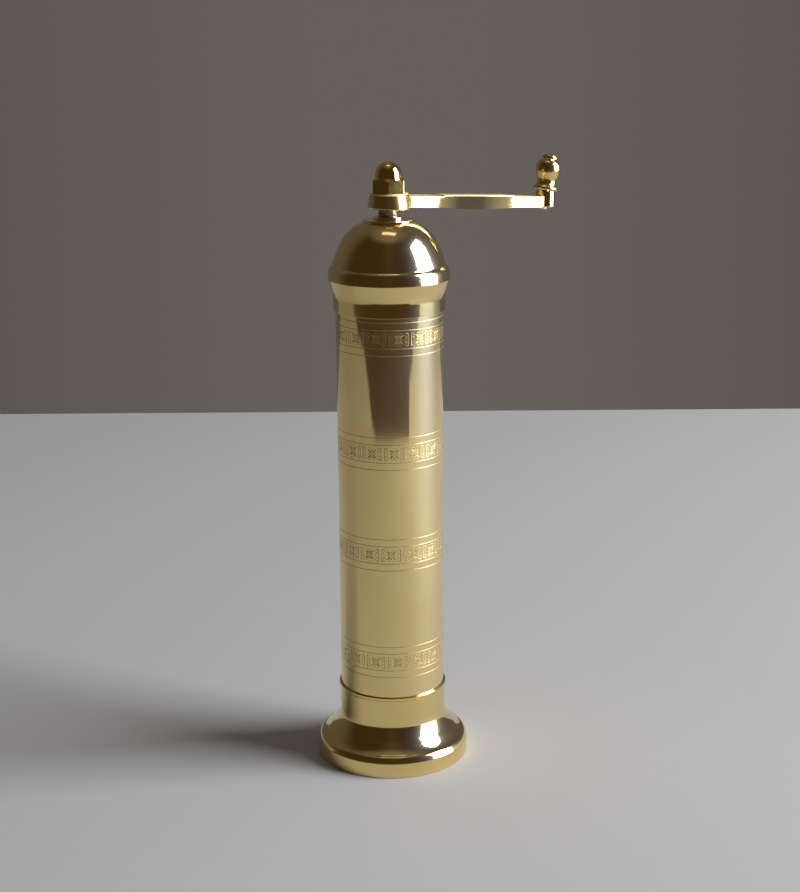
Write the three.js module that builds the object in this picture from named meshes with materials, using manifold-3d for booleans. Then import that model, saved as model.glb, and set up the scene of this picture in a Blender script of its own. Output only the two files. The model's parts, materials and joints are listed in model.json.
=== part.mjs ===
// Hand-cranked brass salt mill: a tube body on a flared foot, a domed lid, a crank on top
// and a conical burr grinder inside the foot.
// Millimetres and degrees, +Z up, origin at the centre of the foot's resting face.

import * as THREE from 'three';
import { mergeVertices } from 'three/addons/utils/BufferGeometryUtils.js';
import Module from 'manifold-3d';

const wasm = await Module();
wasm.setup();

// Driving dimensions

// Body tube
const TUBE_RADIUS = 19;
const TUBE_WALL = 1.2;
const TUBE_LENGTH = 153.6;

// Foot: a rim with a rounded lip, a bell and a collar round the tube
const RIM_SPREAD = 7.95;
const RIM_DRAFT = 0.3;
const RIM_HEIGHT = 5.9;
const LIP_WIDTH = 1.6;
const LIP_HEIGHT = 2.4;
const BELL_HEIGHT = 8.7;
const BELL_FLARE = 0.45;
const COLLAR_WALL = 0.6;
const COLLAR_HEIGHT = 10.6;
const FOOT_WALL = 2.1;

// Ledge inside the foot that carries the tube and the grinder
const LEDGE_DROP = 1.5;
const LEDGE_THICKNESS = 2.7;
const OUTLET_MARGIN = 0.6;

// Outer burr, a toothed ring
const BURR_WALL = 5.9;
const BURR_HEIGHT = 12;
const BURR_NARROWING = 1.4;
const BURR_MOUTH_WIDENING = 0.8;
const BURR_TEETH = 12;
const TOOTH_DEPTH = 0.8;
const BURR_TWIST = 24;

// Inner burr, a toothed cone
const GRIND_GAP = 1;
const CONE_RAISE = 0.6;
const CONE_HEIGHT = 11.8;
const CONE_TAPER = 3.7;

// Drive shaft: a round bar with a square and a thread cut on each end
const SHAFT_RADIUS = 3.65;
const SQUARE_SHOULDER = 1.15;
const LOWER_THREAD_SHOULDER = 0.5;
const UPPER_THREAD_SHOULDER = 0.1;
const SQUARE_SHORTFALL = 0.7;

// Nut under the inner burr, spring seat and spring
const BURR_NUT_LAND = 0.85;
const BURR_NUT_CLEARANCE = 0.5;
const SEAT_THICKNESS = 1;
const SEAT_RIM = 0.7;
const WIRE_DIAMETER = 1.2;
const SPRING_ROOM = 1.65;
const SPRING_TURNS = 6;
const SPRING_LENGTH = 16.4;

// Spring bridge: a bent strap over the burrs, and the bush in its eye
const STRAP_THICKNESS = 1.8;
const STRAP_WIDTH = 7;
const EYE_RIM = 1.4;
const BUSH_WALL = 1.05;
const BUSH_FLANGE_WIDTH = 1.6;
const BUSH_FLANGE_THICKNESS = 1;

// Lower bridge, adjusting screw and thrust pad
const BRIDGE_THICKNESS = 1.8;
const BRIDGE_WIDTH = 9;
const BRIDGE_BOSS_WALL = 2.2;
const BRIDGE_BOSS_HEIGHT = 4.5;
const ADJUSTER_RADIUS = 3;
const ADJUSTER_HEAD_RADIUS = 7;
const ADJUSTER_HEAD_HEIGHT = 4;
const ADJUSTER_TRAVEL_ROOM = 2;
const ADJUSTER_KNURLS = 20;
const KNURL_DEPTH = 0.4;
const SLOT_WIDTH = 1.2;
const SLOT_DEPTH = 1.4;
const PAD_RADIUS = 2.6;
const PAD_THICKNESS = 1;

// Screws of both bridges
const SCREW_RADIUS = 1.25;
const SCREW_HEAD_RADIUS = 2;
const SCREW_HEAD_HEIGHT = 1.4;
const SCREW_BITE = 3;
const SCREW_SLOT_WIDTH = 0.7;
const SCREW_SLOT_DEPTH = 0.7;

// Lid: a skirt over the tube, a bevel out to a flange, a fillet and a dome
const LID_SKIRT_WALL = 0.55;
const LID_OVERLAP = 4.5;
const LID_SEAT_WIDTH = 1.2;
const LID_SKIRT_HEIGHT = 5.3;
const LID_BEVEL_HEIGHT = 5.8;
const LID_FLANGE_REACH = 1.65;
const LID_FLANGE_HEIGHT = 2;
const LID_FILLET_HEIGHT = 2;
const LID_FILLET_INSET = 1.05;
const LID_DOME_HEIGHT = 16.1;
const LID_WALL = 1.6;
const LID_BUSH_WALL = 1.35;
const LID_BUSH_FLANGE_WIDTH = 3.56;
const LID_BUSH_FLANGE_HEIGHT = 1.4;
const LID_BUSH_STEP = 0.5;
const LID_BUSH_DEPTH = 4.4;

// Crank: a conical hub, an arm that slopes down, and an upright boss at its end
const CRANK_ANGLE = 35;
const HUB_GAP = 2.6;
const HUB_BOTTOM_RADIUS = 7.9;
const HUB_TOP_RADIUS = 6.8;
const HUB_HEIGHT = 5.4;
const ARM_LENGTH = 70.5;
const ARM_DROP = 5.4;
const ARM_END_WIDTH = 8.2;
const ARM_END_HEIGHT = 3.9;
const ARM_END_LENGTH = 13.8;
const ARM_WAIST_WIDTH = 4.3;
const ARM_WAIST_HEIGHT = 4.9;
const ARM_SHOULDER = 0.8;
const BOSS_RADIUS = 3.68;
const BOSS_RISE = 1.9;
const NECK_WIDTH = 5;

// Knob and its pin, which leans outwards
const PIN_LEAN = 9;
const PIN_RADIUS = 1.4;
const PIN_HEAD_RADIUS = 2.85;
const PIN_HEAD_HEIGHT = 2;
const PIN_TAIL_RADIUS = 2;
const PIN_TAIL_HEIGHT = 0.6;
const KNOB_HEIGHT = 11;
const KNOB_FLANGE_RADIUS = 4.6;
const KNOB_NECK_RADIUS = 3.45;
const KNOB_BULB_RADIUS = 4.6;
const KNOB_TOP_RADIUS = 2.6;

// Acorn nut
const NUT_FLATS = 10.8;
const NUT_HEX_HEIGHT = 4.9;
const NUT_DOME_STEP = 0.8;
const NUT_DOME_HEIGHT = 6;
const NUT_CHAMFER = 0.6;
const NUT_CROWN = 2;
const THREAD_END_ROOM = 1.3;

// Clearances, small edges, and how far a cutting tool runs past a face
const FIT_GAP = 0.25;
const RUNNING_GAP = 0.3;
const SQUARE_GAP = 0.15;
const EDGE = 0.4;
const OVERRUN = 1;

// Facets of round pieces
const LARGE_FACETS = 48;
const MEDIUM_FACETS = 32;
const SMALL_FACETS = 24;

// Heights that follow, from the table up
const lipTopZ = RIM_HEIGHT + LIP_HEIGHT;
const collarZ = lipTopZ + BELL_HEIGHT;
const collarTopZ = collarZ + COLLAR_HEIGHT;
const ledgeZ = collarZ - LEDGE_DROP;
const seatZ = ledgeZ + LEDGE_THICKNESS;
const burrTopZ = seatZ + BURR_HEIGHT;
const coneZ = seatZ + CONE_RAISE;
const coneTopZ = coneZ + CONE_HEIGHT;
const burrNutZ = ledgeZ + BURR_NUT_CLEARANCE;
const bridgeZ = ledgeZ - BRIDGE_THICKNESS;
const bridgeBossZ = bridgeZ - BRIDGE_BOSS_HEIGHT;
const adjusterHeadTopZ = bridgeBossZ - ADJUSTER_TRAVEL_ROOM;
const padTopZ = bridgeZ;
const adjusterTopZ = padTopZ - PAD_THICKNESS;
const springZ = coneTopZ + SEAT_THICKNESS;
const strapCrownZ = springZ + SPRING_LENGTH;
const strapTopZ = strapCrownZ + STRAP_THICKNESS;
const tubeTopZ = seatZ + TUBE_LENGTH;
const lidZ = tubeTopZ - LID_OVERLAP;
const lidBevelZ = lidZ + LID_SKIRT_HEIGHT;
const lidFlangeZ = lidBevelZ + LID_BEVEL_HEIGHT;
const lidFilletZ = lidFlangeZ + LID_FLANGE_HEIGHT;
const lidDomeZ = lidFilletZ + LID_FILLET_HEIGHT;
const lidTopZ = lidDomeZ + LID_DOME_HEIGHT;
const lidBushTopZ = lidTopZ + LID_BUSH_FLANGE_HEIGHT;
const hubZ = lidBushTopZ + HUB_GAP;
const hubTopZ = hubZ + HUB_HEIGHT;
const nutHexTopZ = hubTopZ + NUT_HEX_HEIGHT;
const nutTopZ = nutHexTopZ + NUT_DOME_HEIGHT;
const nutBoreTopZ = nutTopZ - NUT_CROWN;
const shaftTopZ = nutBoreTopZ - THREAD_END_ROOM;

// Radii and widths that follow, from the tube's wall in and out
const tubeBore = TUBE_RADIUS - TUBE_WALL;
const collarBore = TUBE_RADIUS + FIT_GAP;
const collarRadius = collarBore + COLLAR_WALL;
const rimRadius = collarRadius + RIM_SPREAD;
const burrRadius = tubeBore - RUNNING_GAP;
const burrExit = burrRadius - BURR_WALL;
const burrMouth = burrExit + BURR_MOUTH_WIDENING;
const outletRadius = burrExit + TOOTH_DEPTH + OUTLET_MARGIN;
const screwCircle = (burrMouth + TOOTH_DEPTH + burrRadius) / 2;
const screwHole = SCREW_RADIUS + FIT_GAP;
const shaftBore = SHAFT_RADIUS + RUNNING_GAP;
const squareSide = 2 * (SHAFT_RADIUS - SQUARE_SHOULDER);
const squareHole = squareSide + 2 * SQUARE_GAP;
const lowerThreadRadius = squareSide / 2 - LOWER_THREAD_SHOULDER;
const upperThreadRadius = squareSide / 2 - UPPER_THREAD_SHOULDER;
const springRadius = SHAFT_RADIUS + SPRING_ROOM + WIRE_DIAMETER / 2;
const bushRadius = shaftBore + BUSH_WALL;
const bushFlangeRadius = bushRadius + BUSH_FLANGE_WIDTH;
const lidBore = TUBE_RADIUS + FIT_GAP;
const lidSkirtRadius = lidBore + LID_SKIRT_WALL;
const lidFlangeRadius = lidSkirtRadius + LID_FLANGE_REACH;
const lidDomeRadius = lidFlangeRadius - LID_FILLET_INSET;
const lidBushRadius = shaftBore + LID_BUSH_WALL;
const lidBushFlangeRadius = lidBushRadius + LID_BUSH_FLANGE_WIDTH;

// Crank heights, counted from the hub's seat
const armStartZ = HUB_HEIGHT / 2;
const armSlope = Math.atan2(ARM_DROP, ARM_LENGTH);
const bossBottomZ = armStartZ - ARM_DROP - ARM_END_HEIGHT / 2;
const bossTopZ = bossBottomZ + ARM_END_HEIGHT + BOSS_RISE;

// Finishes
const brass = { color: 0xc9a353, metalness: 1, roughness: 0.16 };
const dullBrass = { color: 0xa98745, metalness: 1, roughness: 0.4 };
const steel = { color: 0x9a9a9c, metalness: 1, roughness: 0.35 };
const burrSteel = { color: 0x86888b, metalness: 1, roughness: 0.5 };
const springSteel = { color: 0x70757c, metalness: 1, roughness: 0.3 };

// Geometry helpers

function radians(degrees) {
  return (degrees * Math.PI) / 180;
}

// Keeps positions alone, joins equal vertices, drops empty triangles and faces the skin outwards
function cleanGeometry(source) {
  const bare = source.clone();
  bare.deleteAttribute('normal');
  bare.deleteAttribute('uv');
  bare.clearGroups();
  const merged = mergeVertices(bare, 1e-4);
  const place = merged.getAttribute('position');
  const index = merged.getIndex();
  const kept = [];
  const a = new THREE.Vector3();
  const b = new THREE.Vector3();
  const c = new THREE.Vector3();
  let volume = 0;
  for (let i = 0; i < index.count; i += 3) {
    const [p, q, r] = [index.getX(i), index.getX(i + 1), index.getX(i + 2)];
    if (p === q || q === r || r === p) continue;
    a.fromBufferAttribute(place, p);
    b.fromBufferAttribute(place, q);
    c.fromBufferAttribute(place, r);
    volume += a.dot(b.cross(c));
    kept.push(p, q, r);
  }
  if (volume < 0) kept.reverse();
  merged.setIndex(kept);
  return merged;
}

function toManifold(geometry) {
  const clean = cleanGeometry(geometry);
  return new wasm.Manifold(new wasm.Mesh({
    numProp: 3,
    vertProperties: new Float32Array(clean.getAttribute('position').array),
    triVerts: new Uint32Array(clean.getIndex().array),
  }));
}

function fromManifold(body) {
  const mesh = body.getMesh();
  const geometry = new THREE.BufferGeometry();
  geometry.setAttribute('position', new THREE.BufferAttribute(mesh.vertProperties, 3));
  geometry.setIndex(new THREE.BufferAttribute(mesh.triVerts, 1));
  return geometry;
}

function join(...geometries) {
  return fromManifold(geometries.map(toManifold).reduce((whole, next) => whole.add(next)));
}

function cut(geometry, ...tools) {
  const whole = toManifold(geometry);
  return fromManifold(tools.map(toManifold).reduce((left, tool) => left.subtract(tool), whole));
}

function common(geometry, other) {
  return fromManifold(toManifold(geometry).intersect(toManifold(other)));
}

// A profile of [radius, height] points turned round Z; a profile off the axis is closed on itself
function turned(profile, facets) {
  const points = profile.map(([radius, height]) => new THREE.Vector2(radius, height));
  const onAxis = points[0].x === 0 && points[points.length - 1].x === 0;
  if (!onAxis) points.push(points[0].clone());
  return cleanGeometry(new THREE.LatheGeometry(points, facets).rotateX(Math.PI / 2));
}

function rod(radius, bottom, top, facets = SMALL_FACETS) {
  return turned([[0, bottom], [radius, bottom], [radius, top], [0, top]], facets);
}

function ring(bore, radius, bottom, top, facets = SMALL_FACETS) {
  return turned([[bore, bottom], [radius, bottom], [radius, top], [bore, top]], facets);
}

function block(sizeX, sizeY, bottom, top) {
  return new THREE.BoxGeometry(sizeX, sizeY, top - bottom).translate(0, 0, (bottom + top) / 2);
}

// A flat outline in X and Y, raised along Z, with its edges broken by the bevel
function plate(shape, bottom, top, bevel = 0) {
  const geometry = new THREE.ExtrudeGeometry(shape, {
    depth: top - bottom - 2 * bevel,
    bevelEnabled: bevel > 0,
    bevelThickness: bevel,
    bevelSize: bevel,
    bevelOffset: -bevel,
    bevelSegments: 1,
    curveSegments: 6,
  });
  return geometry.translate(0, 0, bottom + bevel);
}

function outline(points) {
  return new THREE.Shape(points.map(([x, y]) => new THREE.Vector2(x, y)));
}

function hexPrism(flats, bottom, top) {
  return rod(flats / 2 / Math.cos(Math.PI / 6), bottom, top, 6);
}

// Points of a cubic curve, without its first point
function curvePoints(start, pullA, pullB, end, count) {
  const corners = [start, pullA, pullB, end].map(([x, y]) => new THREE.Vector2(x, y));
  return new THREE.CubicBezierCurve(...corners).getPoints(count).slice(1).map((p) => [p.x, p.y]);
}

// A stack of closed rings, all with the same number of points, skinned and capped at both ends
function skinned(rings) {
  const count = rings[0].length;
  const vertices = rings.flat();
  const faces = [];
  for (let level = 0; level + 1 < rings.length; level += 1) {
    for (let i = 0; i < count; i += 1) {
      const here = level * count + i;
      const next = level * count + ((i + 1) % count);
      faces.push(here, next, next + count, here, next + count, here + count);
    }
  }
  for (const level of [0, rings.length - 1]) {
    const centre = new THREE.Vector3();
    rings[level].forEach((point) => centre.add(point));
    vertices.push(centre.divideScalar(count));
    const hub = vertices.length - 1;
    for (let i = 0; i < count; i += 1) {
      const here = level * count + i;
      const next = level * count + ((i + 1) % count);
      if (level === 0) faces.push(hub, next, here);
      else faces.push(hub, here, next);
    }
  }
  const geometry = new THREE.BufferGeometry().setFromPoints(vertices);
  geometry.setIndex(faces);
  return geometry;
}

// One section of a toothed cone: each tooth has a flat land, a flank, a flat root and a flank
function toothedRing(landRadius, rootRadius, height, turn) {
  const pitch = (2 * Math.PI) / BURR_TEETH;
  const corners = [[0, landRadius], [0.3, landRadius], [0.55, rootRadius], [0.8, rootRadius]];
  const points = [];
  for (let tooth = 0; tooth < BURR_TEETH; tooth += 1) {
    for (const [share, radius] of corners) {
      const angle = (tooth + share) * pitch + radians(turn);
      points.push(new THREE.Vector3(radius * Math.cos(angle), radius * Math.sin(angle), height));
    }
  }
  return points;
}

function piece(name, geometry, finish) {
  const mesh = new THREE.Mesh(geometry, new THREE.MeshStandardMaterial({ ...finish, flatShading: true }));
  mesh.name = name;
  return mesh;
}

// Foot and tube

function footOutside() {
  const rimTop = rimRadius - RIM_DRAFT;
  const bellFoot = rimTop - LIP_WIDTH;
  const bellTop = collarRadius + BELL_FLARE;
  const bellRun = bellFoot - bellTop;
  return [
    [rimRadius - EDGE, 0],
    [rimRadius, EDGE],
    [rimTop, RIM_HEIGHT],
    ...curvePoints([rimTop, RIM_HEIGHT], [rimTop, RIM_HEIGHT + LIP_HEIGHT * 0.5],
      [bellFoot + LIP_WIDTH * 0.55, lipTopZ - LIP_HEIGHT * 0.3], [bellFoot, lipTopZ], 3),
    ...curvePoints([bellFoot, lipTopZ], [bellFoot - bellRun * 0.16, lipTopZ + BELL_HEIGHT * 0.36],
      [bellFoot - bellRun * 0.52, lipTopZ + BELL_HEIGHT * 0.7], [bellTop, collarZ], 6),
    [collarRadius + BELL_FLARE * 0.27, collarZ + BELL_FLARE * 2],
    [collarRadius, collarZ + BELL_FLARE * 4],
    [collarRadius, collarTopZ],
  ];
}

function footInside() {
  const rimBore = rimRadius - RIM_DRAFT - FOOT_WALL;
  return [
    [collarBore, collarTopZ],
    [collarBore, seatZ],
    [outletRadius, seatZ],
    [outletRadius, ledgeZ],
    [collarBore, ledgeZ],
    [(collarBore + rimBore) / 2, lipTopZ + BELL_HEIGHT * 0.35],
    [rimBore - LIP_WIDTH * 0.7, RIM_HEIGHT + LIP_HEIGHT * 0.6],
    [rimBore, RIM_HEIGHT * 0.75],
    [rimBore, 0],
  ];
}

function makeFoot() {
  const shell = turned([...footOutside(), ...footInside()], LARGE_FACETS);
  return cut(shell, ...screwHoles(ledgeZ - OVERRUN, seatZ + OVERRUN));
}

function makeTube() {
  return ring(tubeBore, TUBE_RADIUS, seatZ, tubeTopZ, LARGE_FACETS);
}

// The two places, left and right of the shaft, where both bridges are screwed down
function screwPlaces() {
  return [screwCircle, -screwCircle];
}

function screwHoles(bottom, top) {
  return screwPlaces().map((x) => rod(screwHole, bottom, top).translate(x, 0, 0));
}

// Grinder

function makeOuterBurr() {
  const waist = burrExit - BURR_NARROWING;
  const levels = [
    [burrExit, 0],
    [waist + BURR_NARROWING * 0.2, 0.3],
    [waist, 0.5],
    [burrMouth, 1],
  ];
  const bore = skinned(levels.map(([tip, share]) => {
    const past = share === 0 ? -EDGE : share === 1 ? EDGE : 0;
    return toothedRing(tip, tip + TOOTH_DEPTH, seatZ + share * BURR_HEIGHT + past, -share * BURR_TWIST);
  }));
  const reach = SCREW_BITE + 2 * FIT_GAP;
  return cut(
    rod(burrRadius, seatZ, burrTopZ, MEDIUM_FACETS),
    bore,
    ...screwHoles(seatZ - OVERRUN, seatZ + reach),
    ...screwHoles(burrTopZ - reach, burrTopZ + OVERRUN),
  );
}

function makeInnerBurr() {
  const exit = burrExit - GRIND_GAP;
  const rings = [0, 0.25, 0.6, 1].map((share) => {
    const radius = exit - share * CONE_TAPER;
    return toothedRing(radius, radius - TOOTH_DEPTH, coneZ + share * CONE_HEIGHT, share * BURR_TWIST);
  });
  return cut(skinned(rings), block(squareHole, squareHole, coneZ - OVERRUN, coneTopZ + OVERRUN));
}

function makeBurrNut() {
  const bore = rod(lowerThreadRadius + FIT_GAP, burrNutZ - OVERRUN, coneZ + OVERRUN);
  return cut(hexPrism(squareHole + 2 * BURR_NUT_LAND, burrNutZ, coneZ), bore);
}

function makeSpringSeat() {
  return ring(SHAFT_RADIUS + FIT_GAP, springRadius + WIRE_DIAMETER / 2 + SEAT_RIM, coneTopZ, springZ);
}

class Helix extends THREE.Curve {
  getPoint(share, target = new THREE.Vector3()) {
    const angle = share * SPRING_TURNS * 2 * Math.PI;
    const stand = WIRE_DIAMETER / 2 + FIT_GAP;
    const height = THREE.MathUtils.lerp(springZ + stand, strapCrownZ - stand, share);
    return target.set(springRadius * Math.cos(angle), springRadius * Math.sin(angle), height);
  }
}

function makeSpring() {
  const wire = new THREE.Shape().absarc(0, 0, WIRE_DIAMETER / 2, 0, 2 * Math.PI);
  return new THREE.ExtrudeGeometry(wire, {
    steps: SPRING_TURNS * 10,
    curveSegments: 3,
    extrudePath: new Helix(),
  });
}

// Feet on the outer burr, two legs, and a crown with an eye for the shaft's bush
function makeSpringBridge() {
  const footTop = burrTopZ + STRAP_THICKNESS;
  const reach = Math.sqrt(burrRadius ** 2 - (STRAP_WIDTH / 2) ** 2);
  const outer = screwCircle - SCREW_HEAD_RADIUS - RUNNING_GAP;
  const inner = outer - STRAP_THICKNESS;
  const right = [[reach, burrTopZ], [reach, footTop], [outer, footTop], [outer, strapTopZ]];
  const under = [[-inner, burrTopZ], [-inner, strapCrownZ], [inner, strapCrownZ], [inner, burrTopZ]];
  const left = [...right].reverse().map(([x, z]) => [-x, z]);
  const side = outline([...right, ...left, ...under]);
  const strap = plate(side, -STRAP_WIDTH / 2, STRAP_WIDTH / 2).rotateX(Math.PI / 2);
  const eye = rod(bushFlangeRadius + EYE_RIM, strapCrownZ, strapTopZ);
  const bore = rod(bushRadius + FIT_GAP, strapCrownZ - OVERRUN, strapTopZ + OVERRUN);
  return cut(join(strap, eye), bore, ...screwHoles(burrTopZ - OVERRUN, footTop + OVERRUN));
}

function makeBridgeBush() {
  const top = strapTopZ + BUSH_FLANGE_THICKNESS;
  return turned([
    [shaftBore, strapCrownZ],
    [bushRadius, strapCrownZ],
    [bushRadius, strapTopZ],
    [bushFlangeRadius, strapTopZ],
    [bushFlangeRadius, top],
    [shaftBore, top],
  ], SMALL_FACETS);
}

// A pan-head screw that points down, with its head's seat at height 0
function makeScrew(length) {
  const head = turned([
    [0, -length],
    [SCREW_RADIUS, -length],
    [SCREW_RADIUS, 0],
    [SCREW_HEAD_RADIUS, 0],
    [SCREW_HEAD_RADIUS, SCREW_HEAD_HEIGHT * 0.6],
    [SCREW_HEAD_RADIUS * 0.7, SCREW_HEAD_HEIGHT],
    [0, SCREW_HEAD_HEIGHT],
  ], SMALL_FACETS);
  const slotZ = SCREW_HEAD_HEIGHT - SCREW_SLOT_DEPTH;
  return cut(head, block(3 * SCREW_HEAD_RADIUS, SCREW_SLOT_WIDTH, slotZ, SCREW_HEAD_HEIGHT + OVERRUN));
}

// Lower bridge and adjuster

function makeLowerBridge() {
  const reach = Math.sqrt(collarBore ** 2 - (BRIDGE_WIDTH / 2) ** 2) - 2 * FIT_GAP;
  const bore = ADJUSTER_RADIUS + RUNNING_GAP;
  return cut(
    join(block(2 * reach, BRIDGE_WIDTH, bridgeZ, ledgeZ), rod(bore + BRIDGE_BOSS_WALL, bridgeBossZ, ledgeZ)),
    rod(bore, bridgeBossZ - OVERRUN, ledgeZ + OVERRUN),
    ...screwHoles(bridgeZ - OVERRUN, ledgeZ + OVERRUN),
  );
}

function makeAdjuster() {
  const bottom = adjusterHeadTopZ - ADJUSTER_HEAD_HEIGHT;
  const count = 2 * ADJUSTER_KNURLS;
  const edge = Array.from({ length: count }, (_, i) => {
    const angle = (i / count) * 2 * Math.PI;
    const radius = ADJUSTER_HEAD_RADIUS - (i % 2) * KNURL_DEPTH;
    return [radius * Math.cos(angle), radius * Math.sin(angle)];
  });
  const head = plate(outline(edge), bottom, adjusterHeadTopZ);
  const shank = rod(ADJUSTER_RADIUS, adjusterHeadTopZ - OVERRUN, adjusterTopZ);
  return cut(
    join(head, shank),
    block(3 * ADJUSTER_HEAD_RADIUS, SLOT_WIDTH, bottom - OVERRUN, bottom + SLOT_DEPTH),
  );
}

function makeThrustPad() {
  return turned([
    [0, adjusterTopZ],
    [PAD_RADIUS, adjusterTopZ],
    [PAD_RADIUS, padTopZ - EDGE / 2],
    [PAD_RADIUS - EDGE / 2, padTopZ],
    [0, padTopZ],
  ], SMALL_FACETS);
}

function makeShaft() {
  const lowerSquareZ = coneZ + EDGE;
  const upperSquareTopZ = hubTopZ - SQUARE_SHORTFALL;
  const upperSquare = block(squareSide, squareSide, hubZ - OVERRUN, upperSquareTopZ);
  return join(
    rod(lowerThreadRadius, padTopZ, lowerSquareZ + OVERRUN),
    block(squareSide, squareSide, lowerSquareZ, coneTopZ + OVERRUN),
    rod(SHAFT_RADIUS, coneTopZ, hubZ),
    upperSquare.rotateZ(radians(CRANK_ANGLE)),
    rod(upperThreadRadius, upperSquareTopZ - OVERRUN, shaftTopZ),
  );
}

// Lid

// The dome's curve from its foot up to the bush, drawn in by the wall for the inside
function domeCurve(inset, count) {
  const start = [lidDomeRadius - inset, lidDomeZ];
  const end = [lidBushFlangeRadius + EDGE / 4 - inset * 0.3, lidTopZ - inset];
  const run = start[0] - end[0];
  const rise = end[1] - start[1];
  return curvePoints(start, [start[0] - run * 0.21, start[1] + rise * 0.4],
    [start[0] - run * 0.43, start[1] + rise * 0.8], end, count);
}

function makeLid() {
  const hole = lidBushRadius + FIT_GAP;
  const seatBore = TUBE_RADIUS - LID_SEAT_WIDTH;
  const outside = [
    [lidBore, lidZ],
    [lidSkirtRadius, lidZ],
    [lidSkirtRadius, lidBevelZ],
    [lidFlangeRadius - EDGE / 2, lidFlangeZ],
    [lidFlangeRadius, lidFlangeZ + LID_FLANGE_HEIGHT * 0.45],
    [lidFlangeRadius, lidFilletZ],
    [lidFlangeRadius - EDGE, lidFilletZ + LID_FILLET_HEIGHT * 0.4],
    [lidDomeRadius + EDGE / 2, lidDomeZ - LID_FILLET_HEIGHT * 0.25],
    [lidDomeRadius, lidDomeZ],
    ...domeCurve(0, 8),
    [hole, lidTopZ],
  ];
  const inside = [
    [hole, lidTopZ - LID_WALL],
    ...domeCurve(LID_WALL, 4).reverse(),
    [lidDomeRadius - LID_WALL, lidDomeZ - LID_FILLET_HEIGHT * 0.5],
    [seatBore, lidBevelZ + LID_BEVEL_HEIGHT * 0.4],
    [seatBore, tubeTopZ],
    [lidBore, tubeTopZ],
  ];
  return turned([...outside, ...inside], LARGE_FACETS);
}

function makeLidBush() {
  const bottom = lidTopZ - LID_BUSH_DEPTH;
  const stepZ = lidTopZ + LID_BUSH_FLANGE_HEIGHT / 2;
  return turned([
    [shaftBore, bottom],
    [lidBushRadius, bottom],
    [lidBushRadius, lidTopZ],
    [lidBushFlangeRadius, lidTopZ],
    [lidBushFlangeRadius, stepZ],
    [lidBushFlangeRadius - LID_BUSH_STEP, stepZ],
    [lidBushFlangeRadius - LID_BUSH_STEP, lidBushTopZ],
    [shaftBore, lidBushTopZ],
  ], MEDIUM_FACETS);
}

// Crank, drawn with the shaft's axis as Z, the arm along X and height 0 at the hub's seat

// Where the two wide ends of the arm give way to its narrow waist
const waistStart = Math.sqrt(HUB_BOTTOM_RADIUS ** 2 - (ARM_END_WIDTH / 2) ** 2) + ARM_END_LENGTH;
const armEnd = ARM_LENGTH - BOSS_RADIUS - EDGE / 2;
const waistEnd = armEnd - ARM_END_LENGTH;

function armPlan() {
  const wide = ARM_END_WIDTH / 2;
  const thin = ARM_WAIST_WIDTH / 2;
  const neck = NECK_WIDTH / 2;
  const edge = [
    [0, wide],
    [waistStart - ARM_SHOULDER, wide],
    [waistStart, thin + EDGE],
    [waistStart + ARM_SHOULDER, thin],
    [waistEnd - ARM_SHOULDER, thin],
    [waistEnd, thin + EDGE],
    [waistEnd + ARM_SHOULDER, wide],
    [armEnd - EDGE, wide],
    [armEnd, wide - EDGE],
    [armEnd + EDGE, neck],
    [ARM_LENGTH, neck],
  ];
  const otherEdge = [...edge].reverse().map(([x, y]) => [x, -y]);
  return outline([...edge, ...otherEdge]);
}

// Side view of the waist: a little deeper than the ends, with a slight belly
function waistSide() {
  const low = ARM_END_HEIGHT / 2 - EDGE / 4;
  const deep = ARM_WAIST_HEIGHT / 2;
  const shape = new THREE.Shape();
  shape.moveTo(waistStart, -low);
  shape.quadraticCurveTo((waistStart + waistEnd) / 2, low - 2 * deep, waistEnd, -low);
  shape.lineTo(waistEnd, low);
  shape.lineTo(waistEnd - ARM_SHOULDER, deep);
  shape.lineTo(waistStart + ARM_SHOULDER, deep);
  shape.lineTo(waistStart, low);
  return shape;
}

function makeArmBar() {
  const half = ARM_END_HEIGHT / 2;
  const thin = ARM_WAIST_WIDTH / 2;
  const bar = plate(armPlan(), -half, half, EDGE);
  const waist = plate(waistSide(), -thin, thin, EDGE).rotateX(Math.PI / 2);
  return join(bar, waist).rotateY(armSlope).translate(0, 0, armStartZ);
}

// Moves a geometry made round Z onto the leaning pin, with height 0 at the boss's top
function alongPin(geometry) {
  return geometry.rotateY(radians(PIN_LEAN)).translate(ARM_LENGTH, 0, bossTopZ);
}

function makeCrankArm() {
  const hub = turned([
    [0, 0],
    [HUB_BOTTOM_RADIUS - EDGE, 0],
    [HUB_BOTTOM_RADIUS, EDGE],
    [HUB_TOP_RADIUS, HUB_HEIGHT - EDGE],
    [HUB_TOP_RADIUS - EDGE, HUB_HEIGHT],
    [0, HUB_HEIGHT],
  ], MEDIUM_FACETS);
  const boss = rod(BOSS_RADIUS, bossBottomZ, bossTopZ + BOSS_RADIUS).translate(ARM_LENGTH, 0, 0);
  const square = block(squareHole, squareHole, -OVERRUN, HUB_HEIGHT + OVERRUN);
  const slantedTop = alongPin(rod(3 * BOSS_RADIUS, 0, 3 * BOSS_RADIUS));
  const pinHole = alongPin(rod(PIN_RADIUS + FIT_GAP, -4 * BOSS_RADIUS, BOSS_RADIUS));
  return cut(join(hub, makeArmBar(), boss), square, slantedTop, pinHole);
}

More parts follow.
